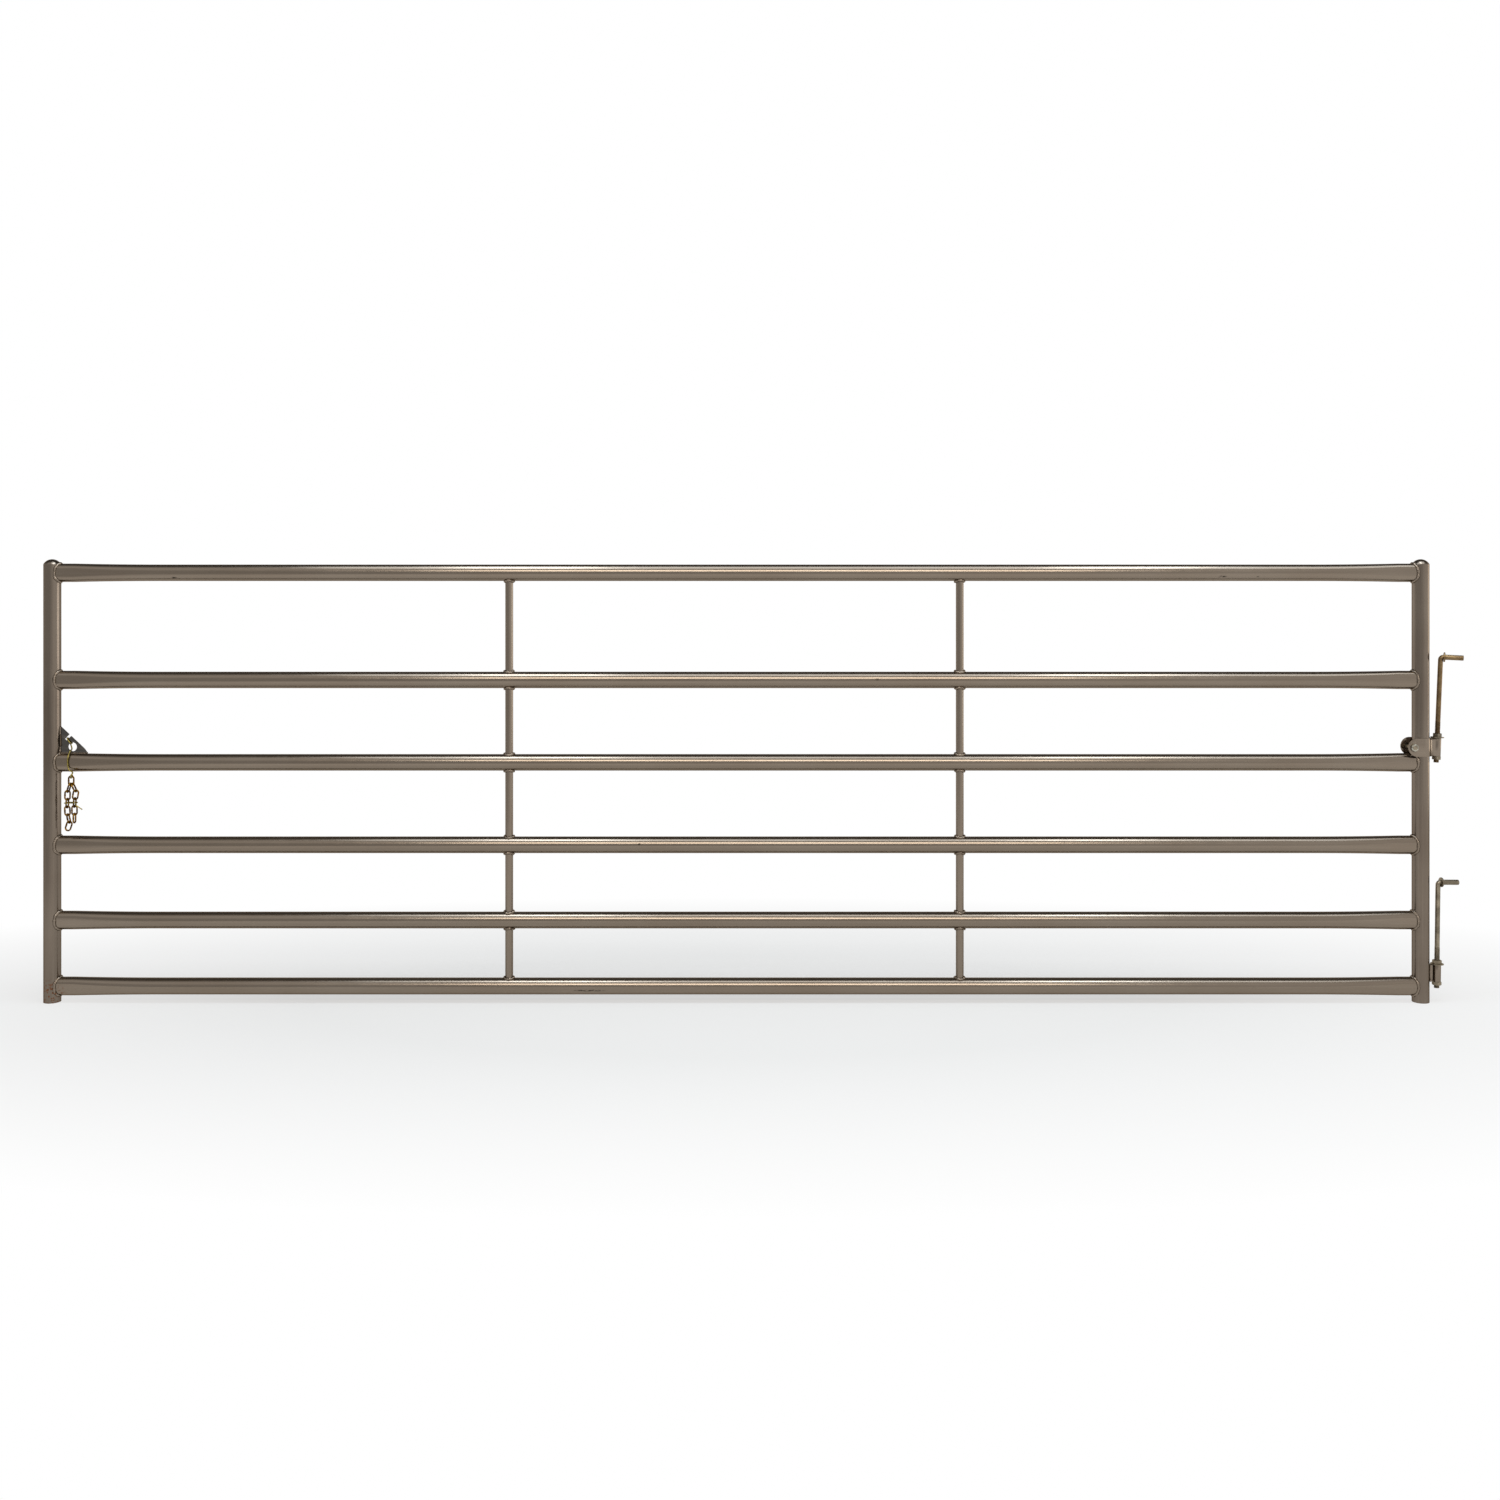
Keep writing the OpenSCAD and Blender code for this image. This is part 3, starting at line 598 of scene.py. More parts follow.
def pressed_half(sizes):
    """Half a rail from its middle to its end at +X, open and without thickness, pressed to a flat oval."""
    half = post_span / 2
    flat = sizes.press_depth / 2
    rise = math.pi * (tube_radius - flat) / 2
    pressing = sizes.round_from - sizes.press_length
    clear_selection()
    bpy.ops.mesh.primitive_circle_add(
        vertices=sizes.rail_sides, radius=tube_radius, rotation=(0, math.pi / 2, 0))
    rail = bpy.context.object
    apply_transform()
    reach = [sizes.press_length + pressing * (1 - i / PRESS_STEPS) for i in range(PRESS_STEPS + 1)]
    reach += [0.5 * (sizes.press_length + tube_radius), tube_radius]
    open_edit(rail)
    bpy.ops.mesh.select_all(action="SELECT")
    at = 0.0
    for distance in reach:
        bpy.ops.mesh.extrude_region_move(TRANSFORM_OT_translate={"value": (half - distance - at, 0, 0)})
        at = half - distance
    for distance in reach:
        share = (distance - sizes.press_length) / pressing
        amount = (1 - max(share, 0)) ** 2
        scale = 1 + (flat / tube_radius - 1) * amount
        x = half - distance
        choose(rail, lambda co: abs(co.x - x) < SAME_PLACE)
        bpy.ops.transform.resize(value=(1, scale, scale), center_override=(x, 0, 0))
        for side in (1, -1):
            choose(rail, lambda co: abs(co.x - x) < SAME_PLACE and co.z * side > MERGE_WITHIN)
            bpy.ops.transform.translate(value=(0, 0, side * rise * amount))
    mesh = bmesh.from_edit_mesh(rail.data)
    cope = tube_radius + sizes.weld_gap
    for point in mesh.verts:
        if abs(point.co.x - (half - tube_radius)) < SAME_PLACE:
            point.co.x = half - math.sqrt(cope ** 2 - point.co.y ** 2)
    bmesh.update_edit_mesh(rail.data)
    close_edit()
    return rail


class GATE_OT_rails(bpy.types.Operator):
    """Six tubes, round along their length and pressed to a flat oval where they meet the posts"""

    bl_idname = "gate.rails"
    bl_label = "Rails"

    def execute(self, context):
        sizes = context.scene.gate_sizes
        master = pressed_half(sizes)
        apply_modifier(master, "MIRROR", use_axis=(True, False, False), use_mirror_merge=True,
                       merge_threshold=MERGE_WITHIN)
        tidy_mesh(master)
        apply_modifier(master, "SOLIDIFY", thickness=sizes.tube_wall, offset=-1.0)
        for node in RAILS:
            rail = copy_of(master)
            settle(rail, Matrix.Translation(middle(node)))
            finish_piece(rail, node + "_tube", "leaf", "paint", finishes["paint"], node)
        bpy.data.objects.remove(master)
        return {"FINISHED"}


class GATE_OT_rail_welds(bpy.types.Operator):
    """Beads round the rails' ends on both posts"""

    bl_idname = "gate.rail_welds"
    bl_label = "Rail welds"

    def execute(self, context):
        sizes = context.scene.gate_sizes
        rail = pressed_half(sizes)
        edge = post_span / 2 - tube_radius - sizes.weld_gap
        loop = [v.co.copy() for v in rail.data.vertices if v.co.x > edge - SAME_PLACE]
        bpy.data.objects.remove(rail)
        loop.sort(key=lambda co: math.atan2(co.z, co.y))
        loop = loop[::2]
        for post, side in (("hinge_post", 1), ("latch_post", -1)):
            beads = []
            for node in RAILS:
                centre = middle(node)
                points = [centre + Vector((side * co.x, co.y, co.z)) for co in loop]
                beads.append(bead_along(points, sizes.rail_bead, closed=True))
            finish_welds(beads, post + "_rail_welds")
        return {"FINISHED"}


# Points round a brace's bead, and how far its middle stands off the tubes, as a share of its radius
BRACE_BEAD_POINTS = 24
BRACE_BEAD_CLEAR = 0.3


class GATE_OT_brace_welds(bpy.types.Operator):
    """Beads round both ends of each brace"""

    bl_idname = "gate.brace_welds"
    bl_label = "Brace welds"

    def execute(self, context):
        sizes = context.scene.gate_sizes
        ring = [math.tau * i / BRACE_BEAD_POINTS for i in range(BRACE_BEAD_POINTS)]
        radius = brace_radius + BRACE_BEAD_CLEAR * sizes.brace_bead
        seat = tube_radius + BRACE_BEAD_CLEAR * sizes.brace_bead
        for column in ("latch", "hinge"):
            beads = []
            for i, (low, high) in enumerate(zip(RAILS, RAILS[1:]), 1):
                x = middle(f"{column}_brace_{i}").x
                for node, up in ((low, 1), (high, -1)):
                    z = middle(node).z
                    points = []
                    for angle in ring:
                        y = radius * math.sin(angle)
                        rise = math.sqrt(seat ** 2 - y ** 2)
                        points.append(Vector((x + radius * math.cos(angle), y, z + up * rise)))
                    beads.append(bead_along(points, sizes.brace_bead, closed=True))
            finish_welds(beads, column + "_brace_welds")
        return {"FINISHED"}


# Beads of the latch plate: shares of its length and of its height, and how far they stand out,
# as a share of their radius
PLATE_FOOT_BEAD = (0.03, 0.3, 0.6, 0.98)
PLATE_SIDE_BEADS = ((0.04, 0.24), (0.7, 0.97))
PLATE_BEAD_OUT = 0.4


class GATE_OT_latch_plate(bpy.types.Operator):
    """Corner plate with its round hole and slot, and its beads"""

    bl_idname = "gate.latch_plate"
    bl_label = "Latch plate"

    def execute(self, context):
        sizes = context.scene.gate_sizes
        plate = softened("latch_plate", sizes.edge_round)
        finish_piece(plate, "latch_corner_plate", "leaf", "paint", finishes["plate"], "latch_plate")
        low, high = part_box("latch_plate")
        beads = []
        for y in (low.y, high.y):
            out = math.copysign(PLATE_BEAD_OUT * sizes.plate_bead, y)
            places = [low.x + share * (high.x - low.x) for share in PLATE_FOOT_BEAD]
            run = [Vector((x, y + out, low.z)) for x in places]
            beads.append(bead_along(run, sizes.plate_bead))
            for start, end in PLATE_SIDE_BEADS:
                shares = (start, (start + end) / 2, end)
                run = [Vector((low.x, y + out, low.z + share * (high.z - low.z))) for share in shares]
                beads.append(bead_along(run, sizes.plate_bead))
        finish_welds(beads, "latch_plate_welds")
        return {"FINISHED"}


# Routes of the two tie wires: distance from the latch post's axis, depth and height in millimetres
TIE_ROUTE = [
    (68.6, -17.4, 701.3), (70.6, -19.3, 697.3), (70.6, -22.2, 693.3), (70.6, -31.8, 693.3),
    (71.6, -34.7, 697.3), (74.6, -33.7, 703.7), (74.6, -26.5, 708.6), (62.9, -24.5, 716.8),
    (57.9, -23.5, 737), (58.9, -22.5, 757.2), (58.9, -13.8, 767.7), (58.9, -5.05, 775),
    (58.9, 0, 774.5), (57.9, 5.05, 778.5), (53, 7.05, 793.3), (47.1, 5.05, 811.1),
    (47.1, 0, 812.1), (48.1, -5.05, 811.1), (53, -7.05, 803.9), (58.9, -4.75, 796.7),
    (59.9, 0, 795.7), (58.9, 4.75, 796.7), (56.9, 7.05, 801.7),
]
BUNDLE_ROUTE = [
    (88.5, -37.5, 620.9), (83.2, -39.8, 617.6), (70.6, -39, 616.8), (56.9, -39, 616.1),
    (53.7, -34.8, 616.1), (53.7, -19.2, 616.1), (56.9, -15, 616.1), (70.6, -15, 616.1),
    (83.2, -15, 616.1), (86.3, -19.2, 616.1), (86.3, -30.9, 614.6), (88.6, -39, 613.1),
    (109.7, -39, 596.9),
]
TIE_RADIUS = 2 * MM
BUNDLE_RADIUS = 1.5 * MM


def from_latch_post(route):
    return [Vector((latch_post_at.x + u * MM, y * MM, z * MM)) for u, y, z in route]


class GATE_OT_tie_wires(bpy.types.Operator):
    """Wire that hangs the chain on the plate, and wire that gathers the two strands"""

    bl_idname = "gate.tie_wires"
    bl_label = "Tie wires"

    def execute(self, context):
        tie = wire(from_latch_post(TIE_ROUTE), TIE_RADIUS)
        finish_piece(tie, "plate_tie_wire", "leaf", "gold_zinc", finishes["wire"], "tie_wire",
                     angle=SMOOTH_WIRES)
        bundle = wire(from_latch_post(BUNDLE_ROUTE), BUNDLE_RADIUS)
        finish_piece(bundle, "strand_tie_wire", "chain_strands", "gold_zinc", finishes["wire"],
                     "bundle_tie", angle=SMOOTH_WIRES)
        return {"FINISHED"}


# Lean of each link from straight down, in degrees, towards the hinge side when positive
LEFT_LEANS = [-17, -2, -1, 3, 13, -18]
RIGHT_LEANS = [25, -10, -3, 0, 0]
# Points round a link and round its wire
LINK_POINTS = 48
LINK_WIRE_POINTS = 18
# Weld on a link's leg: cuts across it and its half length, as shares of half the leg, and its swell
LINK_CUTS = (-0.45, -0.2, 0.0, 0.2, 0.45)
LINK_WELD_HALF = 0.21
LINK_SWELL = 1.14


def link_master():
    """Chain link in the XZ plane, drawn out from a ring, with the swell of its weld on one leg."""
    wire_radius = width("chain_top_link", 1) / 2
    bend = width("chain_top_link", 0) / 2 - wire_radius
    leg = width("chain_top_link", 2) / 2 - wire_radius - bend
    clear_selection()
    bpy.ops.mesh.primitive_torus_add(
        major_segments=LINK_POINTS, minor_segments=LINK_WIRE_POINTS, major_radius=bend,
        minor_radius=wire_radius, rotation=(math.pi / 2, math.pi / LINK_POINTS, 0))
    link = bpy.context.object
    apply_transform()
    open_edit(link)
    for side in (1, -1):
        choose(link, lambda co: 0 < co.z * side < 2 * bend)
        bpy.ops.transform.translate(value=(0, 0, side * leg))
    for share in LINK_CUTS:
        bpy.ops.mesh.select_all(action="SELECT")
        bpy.ops.mesh.bisect(plane_co=(0, 0, share * leg), plane_no=(0, 0, 1))
    choose(link, lambda co: co.x < 0 and abs(co.z) < LINK_WELD_HALF * leg)
    bpy.ops.transform.resize(value=(LINK_SWELL, LINK_SWELL, 1), center_override=(-bend, 0, 0))
    close_edit()
    return link


class GATE_OT_chain(bpy.types.Operator):
    """Top link and the two strands of the latch chain"""

    bl_idname = "gate.chain"
    bl_label = "Latch chain"

    def execute(self, context):
        master = link_master()
        places = [("chain_top_link", 0, False)]
        for side, leans in (("left", LEFT_LEANS), ("right", RIGHT_LEANS)):
            places += [(f"{side}_chain_link_{i + 1}", lean, i % 2 == 0) for i, lean in enumerate(leans)]
        for node, lean, edge_on in places:
            link = copy_of(master)
            turn = Matrix.Rotation(math.radians(-lean), 4, "Y")
            if edge_on:
                turn = turn @ Matrix.Rotation(math.pi / 2, 4, "Z")
            settle(link, Matrix.Translation(middle(node)) @ turn)
            body = frame["nodes"][node]["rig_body"]
            finish_piece(link, node + "_ring", body, "gold_zinc", finishes["gold"], node,
                         angle=SMOOTH_WIRES)
        bpy.data.objects.remove(master)
        return {"FINISHED"}


# Beads of the lower barrel: their depths on the post, shares of its height, and how far they stand
# off the post and aside, as shares of their radius
BARREL_BEAD_DEPTHS = (-7 * MM, 8.2 * MM)
BARREL_BEAD = (0.02, 0.3, 0.6, 0.98)
BARREL_BEAD_OFF = 0.6
BARREL_BEAD_ASIDE = 0.5


class GATE_OT_hinge_straps(bpy.types.Operator):
    """Clamped upper strap, and welded lower barrel with its beads"""

    bl_idname = "gate.hinge_straps"
    bl_label = "Hinge straps"

    def execute(self, context):
        sizes = context.scene.gate_sizes
        strap = softened("upper_hinge_strap", sizes.edge_round)
        finish_piece(strap, "upper_clamp_strap", "upper_hinge", "paint", finishes["paint"],
                     "upper_hinge_strap")
        barrel = softened("lower_hinge_barrel", sizes.edge_round)
        finish_piece(barrel, "lower_welded_barrel", "leaf", "paint", finishes["paint"],
                     "lower_hinge_barrel")
        low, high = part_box("lower_hinge_barrel")
        heights = [low.z + share * (high.z - low.z) for share in BARREL_BEAD]
        beads = []
        for y in BARREL_BEAD_DEPTHS:
            x = math.sqrt(tube_radius ** 2 - y ** 2) + BARREL_BEAD_OFF * sizes.plate_bead
            out = math.copysign(BARREL_BEAD_ASIDE * sizes.plate_bead, y)
            run = [Vector((x, y + out, z)) for z in heights]
            beads.append(bead_along(run, sizes.plate_bead))
        finish_welds(beads, "lower_barrel_welds")
        return {"FINISHED"}


# Thread: its depth as a share of its pitch, and where in a turn it rises, is full, falls and is done
THREAD_DEPTH = 0.45
THREAD_TURN = (0.12, 0.42, 0.58, 0.88)


def threaded_rod(radius, pitch, length, steps=28):
    """Closed rod from the origin up Z with a rolled thread."""
    root = radius - THREAD_DEPTH * pitch
    rise, full, fall, done = THREAD_TURN
    profile = [(root, 0), (root, rise), (radius, full), (radius, fall), (root, done), (root, 1)]
    points = [(r, 0, z * pitch) for r, z in profile]
    edges = [(i, i + 1) for i in range(len(profile) - 1)]
    clear_selection()
    mesh = bpy.data.meshes.new("thread")
    mesh.from_pydata(points, edges, [])
    rod = put_in_scene("thread", mesh)
    turns = math.ceil(length / pitch) + 2
    apply_modifier(rod, "SCREW", angle=math.tau, screw_offset=pitch, iterations=turns, steps=steps,
                   render_steps=steps, use_normal_calculate=True)
    settle(rod, Matrix.Translation((0, 0, -pitch)))
    tidy_mesh(rod)
    open_edit(rod)
    for z, direction in ((0, -1), (length, 1)):
        bpy.ops.mesh.select_all(action="SELECT")
        bpy.ops.mesh.bisect(
            plane_co=(0, 0, z), plane_no=(0, 0, direction), use_fill=True, clear_outer=True)
    bpy.ops.mesh.select_all(action="SELECT")
    bpy.ops.mesh.normals_make_consistent(inside=False)
    close_edit()
    return rod


def stud(radius, length, rounding, sides=40):
    """Closed cylinder from the origin up Z with rounded end edges."""
    piece = cylinder(sides, radius, length, length / 2)
    apply_modifier(piece, "BEVEL", width=rounding, segments=3, limit_method="ANGLE",
                   angle_limit=SHARP_ANGLE)
    return piece


# Hook bolts: sizes in metres, in the frame of their barrel
HOOK_LEG = 325 * MM
HOOK_STUB = 20 * MM
HOOK_BEND = 8.2 * MM
HOOK_SHANK = 7.2 * MM
HOOK_THREAD = 7.95 * MM
HOOK_THREAD_LENGTH = 125 * MM
HOOK_PIN = 7.95 * MM
HOOK_PIN_REACH = 64 * MM
# Radius and thickness of the collar
HOOK_COLLAR = (14.75 * MM, 4 * MM)
HOOK_COLLAR_SIDES = 56
HOOK_COLLAR_ROUND = 0.7 * MM
HOOK_PIN_ROUND = 1.4 * MM
# How far the shank runs into the thread, and steps of its bend
HOOK_OVERLAP = 4 * MM
HOOK_BEND_STEPS = 6
HINGE_AXIS_X = 50 * MM
# Height of the barrel's middle and its length, its lean and the hook's turn in degrees
BARRELS = {"upper": (785 * MM, 56 * MM, 2.5, -20), "lower": (88.7 * MM, 52 * MM, 0.8, 3)}


def barrel_place(level):
    z, _, lean, turn = BARRELS[level]
    return (Matrix.Translation((HINGE_AXIS_X, 0, z)) @ Matrix.Rotation(math.radians(lean), 4, "Y")
            @ Matrix.Rotation(math.radians(turn), 4, "Z"))


class GATE_OT_hooks(bpy.types.Operator):
    """Two hook bolts: threaded leg, plain shank, tight bend, collar and pin"""

    bl_idname = "gate.hooks"
    bl_label = "Hook bolts"

    def execute(self, context):
        sizes = context.scene.gate_sizes
        for level in BARRELS:
            end = -BARRELS[level][1] / 2 - HOOK_STUB
            pin_z = end + HOOK_LEG
            thread = threaded_rod(HOOK_THREAD, sizes.hook_pitch, HOOK_THREAD_LENGTH)
            settle(thread, Matrix.Translation((0, 0, end)))
            centre = Vector((HOOK_BEND, 0, pin_z - HOOK_BEND))
            angles = [math.pi / 2 * i / HOOK_BEND_STEPS for i in range(HOOK_BEND_STEPS + 1)]
            arc = [centre + HOOK_BEND * Vector((-math.cos(t), 0, math.sin(t))) for t in angles]
            route = [Vector((0, 0, end + HOOK_THREAD_LENGTH - HOOK_OVERLAP)), *arc,
                     Vector((HOOK_BEND + HOOK_COLLAR[1], 0, pin_z))]
            shank = wire(route, HOOK_SHANK, sides=8, steps=5)
            across = Matrix.Translation((HOOK_BEND, 0, pin_z)) @ Matrix.Rotation(math.pi / 2, 4, "Y")
            collar = stud(*HOOK_COLLAR, HOOK_COLLAR_ROUND, HOOK_COLLAR_SIDES)
            settle(collar, across)
            pin = stud(HOOK_PIN, HOOK_PIN_REACH - HOOK_BEND, HOOK_PIN_ROUND)
            settle(pin, across)
            hook = joined([shank, thread, collar, pin])
            settle(hook, barrel_place(level))
            finish_piece(hook, level + "_hook_bolt", level + "_hook_set", "gold_zinc", finishes[level],
                         level + "_hook", angle=SMOOTH_THREADS)
        return {"FINISHED"}


# Nut: depth of its chamfer as a share of the step from flat to corner, its face as a share of its
# flats, and the rounding of the drill as a share of the bore
NUT_CHAMFER = 0.6
NUT_FACE = 0.96
DRILL_ROUND = 0.1
# The cone that cuts the chamfer is a little wider than the nut, and has many sides
CONE_WIDER = 1.01
CONE_SIDES = 72


def hex_nut(flats, height, bore):
    """Hexagon nut standing on the origin, chamfered at both faces, and whole when its bore is 0."""
    corner = flats / 2 / math.cos(math.pi / 6)
    slope = NUT_CHAMFER * (corner - flats / 2)
    cone_radius = CONE_WIDER * corner
    nut = cylinder(6, corner, height, height / 2)
    cone = cylinder(CONE_SIDES, cone_radius, height - 2 * slope, height / 2)
    shrink = NUT_FACE * flats / 2 / cone_radius
    open_edit(cone)
    for side in (1, -1):
        face_z = height / 2 + side * (height / 2 - slope)
        choose(cone, lambda co: abs(co.z - face_z) < SAME_PLACE)
        bpy.ops.mesh.extrude_region_move(TRANSFORM_OT_translate={"value": (0, 0, side * slope)})
        bpy.ops.transform.resize(value=(shrink, shrink, 1), center_override=(0, 0, face_z))
    bpy.ops.mesh.select_all(action="SELECT")
    bpy.ops.mesh.normals_make_consistent(inside=False)
    close_edit()
    cut_with(nut, cone, "INTERSECT")
    if bore:
        drill = stud(bore, 3 * height, DRILL_ROUND * bore)
        settle(drill, Matrix.Translation((0, 0, -height)))
        cut_with(nut, drill, "DIFFERENCE")
    merge_flats(nut)
    return nut


HOOK_NUT_FLATS = 23.8 * MM
HOOK_NUT_HEIGHT = 11 * MM
WASHER_THICKNESS = 2.6 * MM
# Rounding of a washer's edges, as a share of the rounding of the straps'
WASHER_ROUND = 0.5
# Gap between a barrel and what is screwed against it, and between a thread and its bore
SEAT_GAP = 0.2 * MM
BORE_GAP = 0.1 * MM


class GATE_OT_hook_nuts(bpy.types.Operator):
    """Nuts above and below each barrel, and the washer on it"""

    bl_idname = "gate.hook_nuts"
    bl_label = "Hook nuts and washers"

    def execute(self, context):
        sizes = context.scene.gate_sizes
        for level in BARRELS:
            half = BARRELS[level][1] / 2
            body = level + "_hook_set"
            nuts = (
                (level + "_top_nut", half + SEAT_GAP + WASHER_THICKNESS),
                (level + "_bottom_nut", -half - SEAT_GAP - HOOK_NUT_HEIGHT),
            )
            for node, z in nuts:
                nut = hex_nut(HOOK_NUT_FLATS, HOOK_NUT_HEIGHT, HOOK_THREAD + BORE_GAP)
                settle(nut, barrel_place(level) @ Matrix.Translation((0, 0, z)))
                finish_piece(nut, node + "_hexagon", body, "gold_zinc", finishes["lower"], node)
            washer = softened(level + "_washer", WASHER_ROUND * sizes.edge_round)
            finish_piece(washer, level + "_hook_washer", body, "gold_zinc", finishes["lower"],
                         level + "_washer")
        return {"FINISHED"}


CLAMP_FLATS = 20 * MM
CLAMP_NUT_HEIGHT = 9.5 * MM
CLAMP_HEAD_HEIGHT = 7.5 * MM
CLAMP_RADIUS = 6 * MM
CLAMP_THREAD_LENGTH = 30 * MM
# How far the bolt's end shows past its nut
CLAMP_END = 2.5 * MM
# The plain shank is thinner than the thread, has rounded edges and runs a little into the thread
CLAMP_SHANK_STEP = 0.4 * MM
CLAMP_SHANK_ROUND = 0.3 * MM
CLAMP_OVERLAP = 2 * MM


class GATE_OT_clamp(bpy.types.Operator):
    """Bolt and nut that draw the strap's ears together"""

    bl_idname = "gate.clamp"
    bl_label = "Clamp bolt and nut"

    def execute(self, context):
        sizes = context.scene.gate_sizes
        bolt_at = middle("clamp_nut")
        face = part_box("clamp_nut")[1].y
        back = -face
        tip = face - CLAMP_NUT_HEIGHT - CLAMP_END
        forward = Matrix.Rotation(math.pi / 2, 4, "X")
        nut = hex_nut(CLAMP_FLATS, CLAMP_NUT_HEIGHT, CLAMP_RADIUS + BORE_GAP)
        settle(nut, Matrix.Translation((bolt_at.x, face, bolt_at.z)) @ forward)
        finish_piece(nut, "clamp_nut_hexagon", "upper_hinge", "bare_zinc", finishes["clear"], "clamp_nut")
        thread = threaded_rod(CLAMP_RADIUS, sizes.clamp_pitch, CLAMP_THREAD_LENGTH)
        settle(thread, Matrix.Translation((bolt_at.x, tip + CLAMP_THREAD_LENGTH, bolt_at.z)) @ forward)
        shank_length = back - tip - CLAMP_THREAD_LENGTH + CLAMP_OVERLAP
        shank = stud(CLAMP_RADIUS - CLAMP_SHANK_STEP, shank_length, CLAMP_SHANK_ROUND)
        settle(shank, Matrix.Translation((bolt_at.x, back, bolt_at.z)) @ forward)
        head = hex_nut(CLAMP_FLATS, CLAMP_HEAD_HEIGHT, 0)
        settle(head, Matrix.Translation((bolt_at.x, back + CLAMP_HEAD_HEIGHT, bolt_at.z)) @ forward)
        bolt = joined([shank, thread, head])
        finish_piece(bolt, "clamp_bolt_hexagon", "upper_hinge", "gold_zinc", finishes["lower"],
                     "clamp_bolt", angle=SMOOTH_THREADS)
        return {"FINISHED"}


# Stage

WHITE = (1, 1, 1)
FLOOR_SIZE = 120.0
FLOOR_COLOUR = (0.80, 0.78, 0.74, 1)
FLOOR_ROUGHNESS = 0.8
FLOOR_SPECULAR = 0.2
# How far round the gate its shadow shows, and the lit floor's share there
SHADOW_REACH = 1.6
SHADOW_SHARE = 0.45
# What the camera and mirrors see around: walls that are white at the right and behind, and greyer at
# the front left, and a ceiling that is bright in front and dark behind
WHITE_SIDE = (0.65, 0.76, 0)
WHITE_FROM, WHITE_FULL = -0.85, -0.13
ROOM_COLOUR = (0.55, 0.55, 0.55)
FRONT_CEILING = (0.8, 0.8, 0.8)
BACK_CEILING = (0.10, 0.10, 0.10)
FRONT_UNTIL, BACK_FROM = -0.40, 0.05
# Sines of the height where the wall ends and the ceiling begins
WALL_TOP, CEILING_FROM = 0.45, 0.62
# The floor is white near the gate and behind it. Towards the front and the left it fades, between
# these lines, into the walls' colour
FRONT_FADE, FRONT_WHITE = -7.0, -2.7
LEFT_FADE, LEFT_WHITE, LEFT_SLANT = -8.0, -4.8, 0.5
# Light that the room throws on everything
ROOM_LIGHT = (0.96, 0.98, 1.0, 1)
ROOM_STRENGTH = 0.22
COOL_LIGHT = (0.78, 0.89, 1.0)
WARM_LIGHT = (1.0, 0.95, 0.88)
PALE_LIGHT = (1.0, 0.98, 0.95)
# Lamps: place, the point that they face, length and width, power and colour
LAMPS = {
    "overhead": ((-1.4, -0.7, 3.9), (-1.4, -0.69, 0), (5.6, 1.6), 67, COOL_LIGHT),
    "overhead_left": ((-3.14, -0.7, 3.85), (-3.14, -0.69, 0), (0.7, 1.6), 21, COOL_LIGHT),
    "overhead_right": ((-0.25, -0.7, 3.85), (-0.25, -0.69, 0), (0.7, 1.6), 21, COOL_LIGHT),
    "front": ((-1.92, -5.5, 4.2), (-1.92, 0, 0.8), (4.7, 1.8), 128, WARM_LIGHT),
    "side": ((4.2, 2.0, 1.2), (0, 2.0, 1.1), (4.6, 2.2), 55, PALE_LIGHT),
}
CAMERA_AT = (-2.0664, -4.56, 1.2373)
CAMERA_LENS = 35.513
CAMERA_SENSOR = 36
CAMERA_SHIFT = -0.1


def seen_directly(tree):
    """1 for what the camera sees, straight or in a mirror or glass."""
    path = tree.nodes.new("ShaderNodeLightPath")
    seen = combine(tree, "MAXIMUM", path.outputs["Is Camera Ray"], path.outputs["Is Transmission Ray"])
    return combine(tree, "MAXIMUM", seen, path.outputs["Is Glossy Ray"])


def wall_colour(tree, way):
    """White towards the white side and grey away from it, by direction."""
    turn = add_node(tree, "ShaderNodeVectorMath", operation="DOT_PRODUCT")
    tree.links.new(way, turn.inputs[0])
    turn.inputs[1].default_value = WHITE_SIDE
    return blend(tree, span(tree, turn.outputs["Value"], WHITE_FROM, WHITE_FULL), ROOM_COLOUR, WHITE)


def mix_into(tree, output, share, first, second):
    """Leads a mix of two shaders to the tree's output."""
    mix = tree.nodes.new("ShaderNodeMixShader")
    for socket, value in zip(mix.inputs, (share, first.outputs[0], second.outputs[0])):
        tree.links.new(value, socket)
    tree.links.new(mix.outputs[0], tree.nodes[output].inputs["Surface"])


